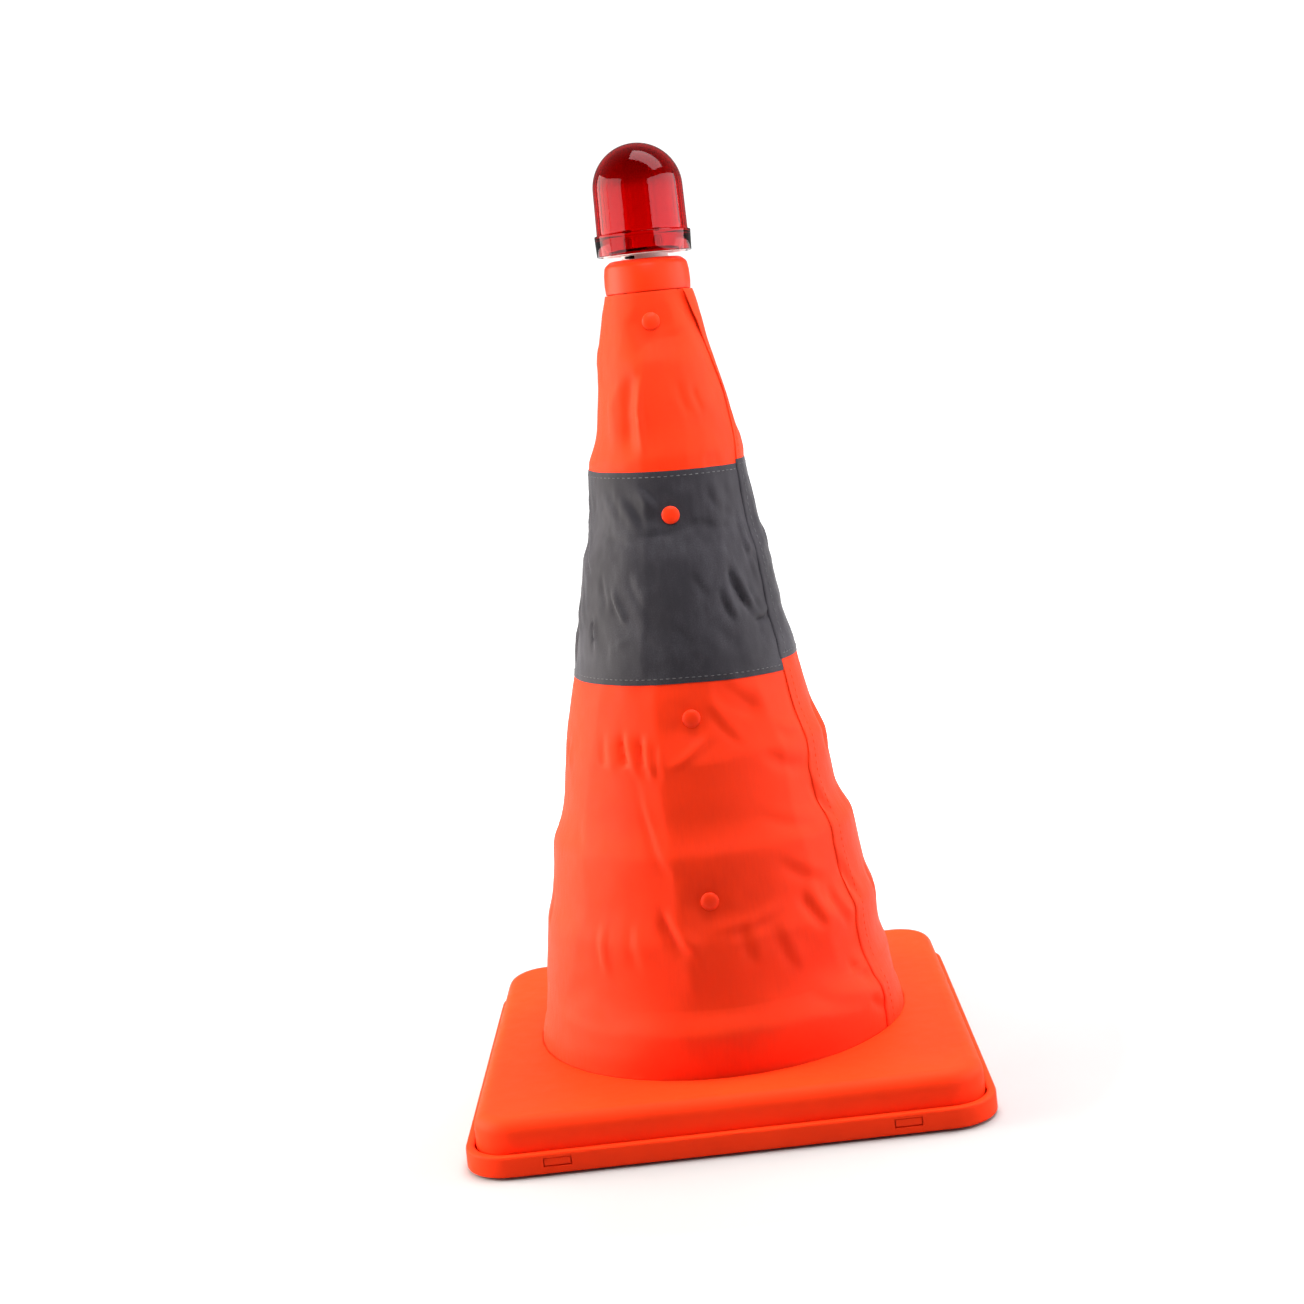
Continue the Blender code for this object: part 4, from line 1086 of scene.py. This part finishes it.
def make_beacon():
    flutes = 44
    out = [(23.15, 416.6), (23.45, 416.75), (23.58, 417.1), (23.98, 426.5), (23.95, 426.85), (23.8, 427.05), (23.3, 427.1), (22.9, 427.15), (22.75, 427.4)]
    out += [(22.7 - 0.3 * t, 427.4 + 21.6 * t) for t in np.linspace(0.05, 1, 12)]
    n = 30
    for i in range(1, n):
        a = math.pi / 2 * i / n
        out.append((22.4 * math.cos(a), 449.0 + 22.4 * math.sin(a)))
    inn = [(22.15, 416.6), (22.0, 416.9), (21.9, 424.6), (21.5, 425.4), (21.0, 425.9)]
    inn += [(20.9 - 0.25 * t, 426.5 + 22.5 * t) for t in np.linspace(0.0, 1, 12)]
    for i in range(1, n):
        a = math.pi / 2 * i / n
        inn.append((20.65 * math.cos(a), 449.0 + 20.65 * math.sin(a)))
    profile = [(0, 471.4)] + out[::-1] + inn + [(0, 449.0 + 20.65)]
    first_in = 1 + len(out)

    def wave(a, r, z, k):
        if k < first_in or z < 426.0:
            return r
        fade = float(smooth01(np.array((z - 427.0) / 3.0))) * float(1 - smooth01(np.array((z - 450.0) / 12.0)))
        return r + 0.07 * fade * math.cos(flutes * a)

    mesh = from_bm("lens_shell", lathe(profile, 264, wave=wave))
    add_object("lens_shell", mesh, M["lens"], "beacon", ["beacon_lens"], 40)

    hole = 10.75
    body = [(hole, 355.6, 0.2), (11.65, 355.6, 0.3), (11.65, 403.0, 0), (11.65, 416.4, 0.3), (20.6, 416.4, 0.3), (21.0, 418.2, 0.3), (hole, 418.2, 0.3)]
    slot = turned_by(box_bm((-2.4, -14.0, 414.45), (1.4, -9.0, 416.05)), -32.0)
    # the switch's slot is cut into the neck's wall below the disc
    mesh = cut_mesh("neck_shell", lathe(rounded(body, 0.3, 4), 96), slot)
    add_object("neck_shell", mesh, M["pale"], "beacon", ["beacon_chassis"], 32)

    hatch = [(0, 353.2), (9.6, 353.2), (10.9, 353.35), (11.45, 353.9), (11.6, 354.6), (11.6, 355.2), (11.4, 355.35), (10.3, 355.35), (10.3, 356.6), (10.0, 356.75), (0, 356.75)]
    slot = box_bm((-7.5, -0.9, 352.0), (7.5, 0.9, 354.3))
    mesh = cut_mesh("hatch_cover", lathe(hatch, 72), slot)
    add_object("hatch_cover", mesh, M["pale"], "battery_hatch", ["battery_cover"], 32)

    parts = [box_bm((-2.2, -15.05, 414.6), (-0.8, -9.65, 415.9))]
    mesh = from_bm("switch_knob", turned_by(joined(parts), -32.0))
    knob = add_object("switch_knob", mesh, M["black"], "switch", ["switch_lever"], 32)
    mod = knob.modifiers.new("soft", "BEVEL")
    mod.width, mod.segments = 0.00025, 3


# ------------------------------------------------------------------ carried-over nodes
def dress_cad():
    finish_of = {
        "base_collar": ("ring", "ring_plastic"), "fabric_clamp_ring": ("ring", "ring_plastic"), "led_board": ("board", "board_green"),
        "battery_left": ("cell", "cell_jacket"), "battery_right": ("cell", "cell_jacket"),
        "contact_plate_plus": ("brass", "contact_brass"), "contact_plate_minus": ("brass", "contact_brass"), "contact_bridge": ("brass", "contact_brass"),
        "contact_spring_top": ("steel", "steel"), "contact_spring_bottom": ("steel", "steel"), "switch_body": ("black", "black_plastic"),
    }
    for name, obj in NODES.items():
        if obj.hide_render:
            continue
        if name in finish_of:
            key = finish_of[name]
        elif name.startswith(("ring_section", "rivet_keeper")):
            key = ("ring", "ring_plastic")
        elif name.startswith("collar_screw"):
            key = ("steel", "steel")
        elif name.startswith("led_"):
            key = ("led", "led_clear")
        else:
            key = ("orange", "orange_plastic")
        obj.data.materials.clear()
        obj.data.materials.append(M[key[0]])
        obj.data.polygons.foreach_set("use_smooth", [True] * len(obj.data.polygons))
        weld = obj.modifiers.new("weld", "WELD")
        weld.merge_threshold = 0.000001
        split = obj.modifiers.new("edges", "EDGE_SPLIT")
        split.split_angle = math.radians(32)


# ------------------------------------------------------------------ studio
WORLD_FRONT = 0.08


def area_light(name, place, aim, width, height, radiance, colour=(1, 1, 1)):
    data = bpy.data.lights.new(name, "AREA")
    data.shape = "RECTANGLE"
    data.size, data.size_y = width, height
    data.energy = radiance * math.pi * width * height
    data.color = colour
    obj = bpy.data.objects.new(name, data)
    obj.location = place
    obj.rotation_euler = (Vector(aim) - Vector(place)).to_track_quat("-Z", "Y").to_euler()
    obj.visible_camera = False
    bpy.context.scene.collection.objects.link(obj)
    return obj


def make_studio():
    scene = bpy.context.scene
    scene.view_settings.view_transform = "Standard"
    scene.view_settings.look = "None"
    scene.view_settings.exposure = 0.0
    scene.view_settings.gamma = 1.0
    world = bpy.data.worlds.new("studio")
    scene.world = world
    world.use_nodes = True
    tree = world.node_tree
    back = tree.nodes["Background"]
    coord = tree.nodes.new("ShaderNodeTexCoord")
    sep = tree.nodes.new("ShaderNodeSeparateXYZ")
    tree.links.new(coord.outputs["Generated"], sep.inputs["Vector"])
    ramp = tree.nodes.new("ShaderNodeMapRange")
    ramp.inputs["From Min"].default_value = -0.25
    ramp.inputs["From Max"].default_value = 0.65
    ramp.inputs["To Min"].default_value = WORLD_FRONT
    ramp.inputs["To Max"].default_value = 1.15
    tree.links.new(sep.outputs["Y"], ramp.inputs["Value"])
    path = tree.nodes.new("ShaderNodeLightPath")
    dim = tree.nodes.new("ShaderNodeMapRange")
    dim.inputs["To Min"].default_value = 1.0
    dim.inputs["To Max"].default_value = 0.16
    mirrored = tree.nodes.new("ShaderNodeMath")
    mirrored.operation = "SUBTRACT"
    mirrored.use_clamp = True
    tree.links.new(path.outputs["Is Glossy Ray"], mirrored.inputs[0])
    tree.links.new(path.outputs["Is Transmission Ray"], mirrored.inputs[1])
    tree.links.new(mirrored.outputs[0], dim.inputs["Value"])
    both = tree.nodes.new("ShaderNodeMath")
    both.operation = "MULTIPLY"
    tree.links.new(ramp.outputs["Result"], both.inputs[0])
    tree.links.new(dim.outputs["Result"], both.inputs[1])
    tree.links.new(both.outputs[0], back.inputs["Strength"])
    back.inputs["Color"].default_value = (1, 1, 1, 1)

    bm = bmesh.new()
    bmesh.ops.create_grid(bm, x_segments=8, y_segments=8, size=1.0)
    bmesh.ops.transform(bm, matrix=Matrix.Translation((0, 4.66, -0.0003)) @ Matrix.Diagonal((8.0, 5.0, 1.0, 1.0)), verts=bm.verts)
    mesh = bpy.data.meshes.new("floor")
    bm.to_mesh(mesh)
    bm.free()
    s = Shade("floor_paper", Metallic=0.0)
    s.bsdf.inputs["Specular IOR Level"].default_value = 0.1
    s.bsdf.inputs["Roughness"].default_value = 0.85
    at = s.coords()
    s.colour(s.ramp(s.noise(at, 6.0, 3.0), [(0.3, (0.385, 0.38, 0.38)), (0.7, (0.405, 0.40, 0.40))]))
    gone = s.node("ShaderNodeVectorMath", operation="LENGTH")
    s.link(at, gone.inputs[0])
    s.bsdf.inputs["Emission Color"].default_value = (1, 1, 1, 1)
    s.link(s.remap(gone.outputs["Value"], 0.0, 1.05, 0.20, 0.60), s.bsdf.inputs["Emission Strength"])
    mesh.materials.append(s.mat)
    floor = bpy.data.objects.new("floor", mesh)
    bpy.context.scene.collection.objects.link(floor)

    def beside(name, azimuth, half_angle, height, radiance, colour):
        a = math.radians(azimuth)
        far = 1.2
        return area_light(name, (far * math.sin(a), -far * math.cos(a), 0.48), (0, 0, 0.30), 2 * far * math.tan(math.radians(half_angle)), height, radiance, colour)

    # broad light on the flanks and from above, kept out of the gloss
    wide = [
        beside("left_near", -60, 14, 0.85, 0.9, (1.0, 0.97, 0.93)),
        beside("left_far", -98, 20, 1.0, 15.0, (1.0, 0.96, 0.86)),
        beside("right_near", 45, 17, 0.85, 0.45, (1.0, 0.97, 0.97)),
        beside("right_far", 94, 27, 0.85, 4.6, (1.0, 0.97, 0.96)),
        area_light("overhead", (0.20, 0.22, 1.46), (0.05, 0, 0.2), 1.2, 1.2, 9.6),
        area_light("front_high", (0.03, -0.42, 0.72), (0, -0.02, 0.39), 0.24, 0.18, 3.6),
    ]
    wide[-1].data.spread = math.radians(60)
    for lamp in wide:
        lamp.visible_glossy = False
        lamp.visible_transmission = False
    # what glossy faces see instead: two tall boxes and a small one overhead
    seen = [
        beside("left_strip", -62, 20, 0.95, 2.6, (1.0, 0.96, 0.92)),
        beside("left_strip_far", -104, 20, 0.95, 3.0, (1.0, 0.94, 0.86)),
        beside("right_strip", 72, 44, 0.95, 2.6, (1.0, 0.97, 1.0)),
        area_light("dome_patch", (0.36, -0.12, 1.33), (0, 0, 0.45), 0.60, 1.1, 3.4),
    ]
    for lamp in seen:
        lamp.visible_diffuse = False


made, rows, outer, normals = make_fabric()
stitches = make_stitching(made, rows, outer, normals)
make_base()
make_cap()
make_rivets()
make_beacon()
dress_cad()
make_studio()

# ------------------------------------------------------------------ meshes of their own for the sleeve, the tape and the stitches
for name in ("sleeve_cloth", "band_tape"):
    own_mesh(made[name][0])
for obj in stitches:
    if obj.name != "stitch_seam_skirt":
        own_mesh(obj)
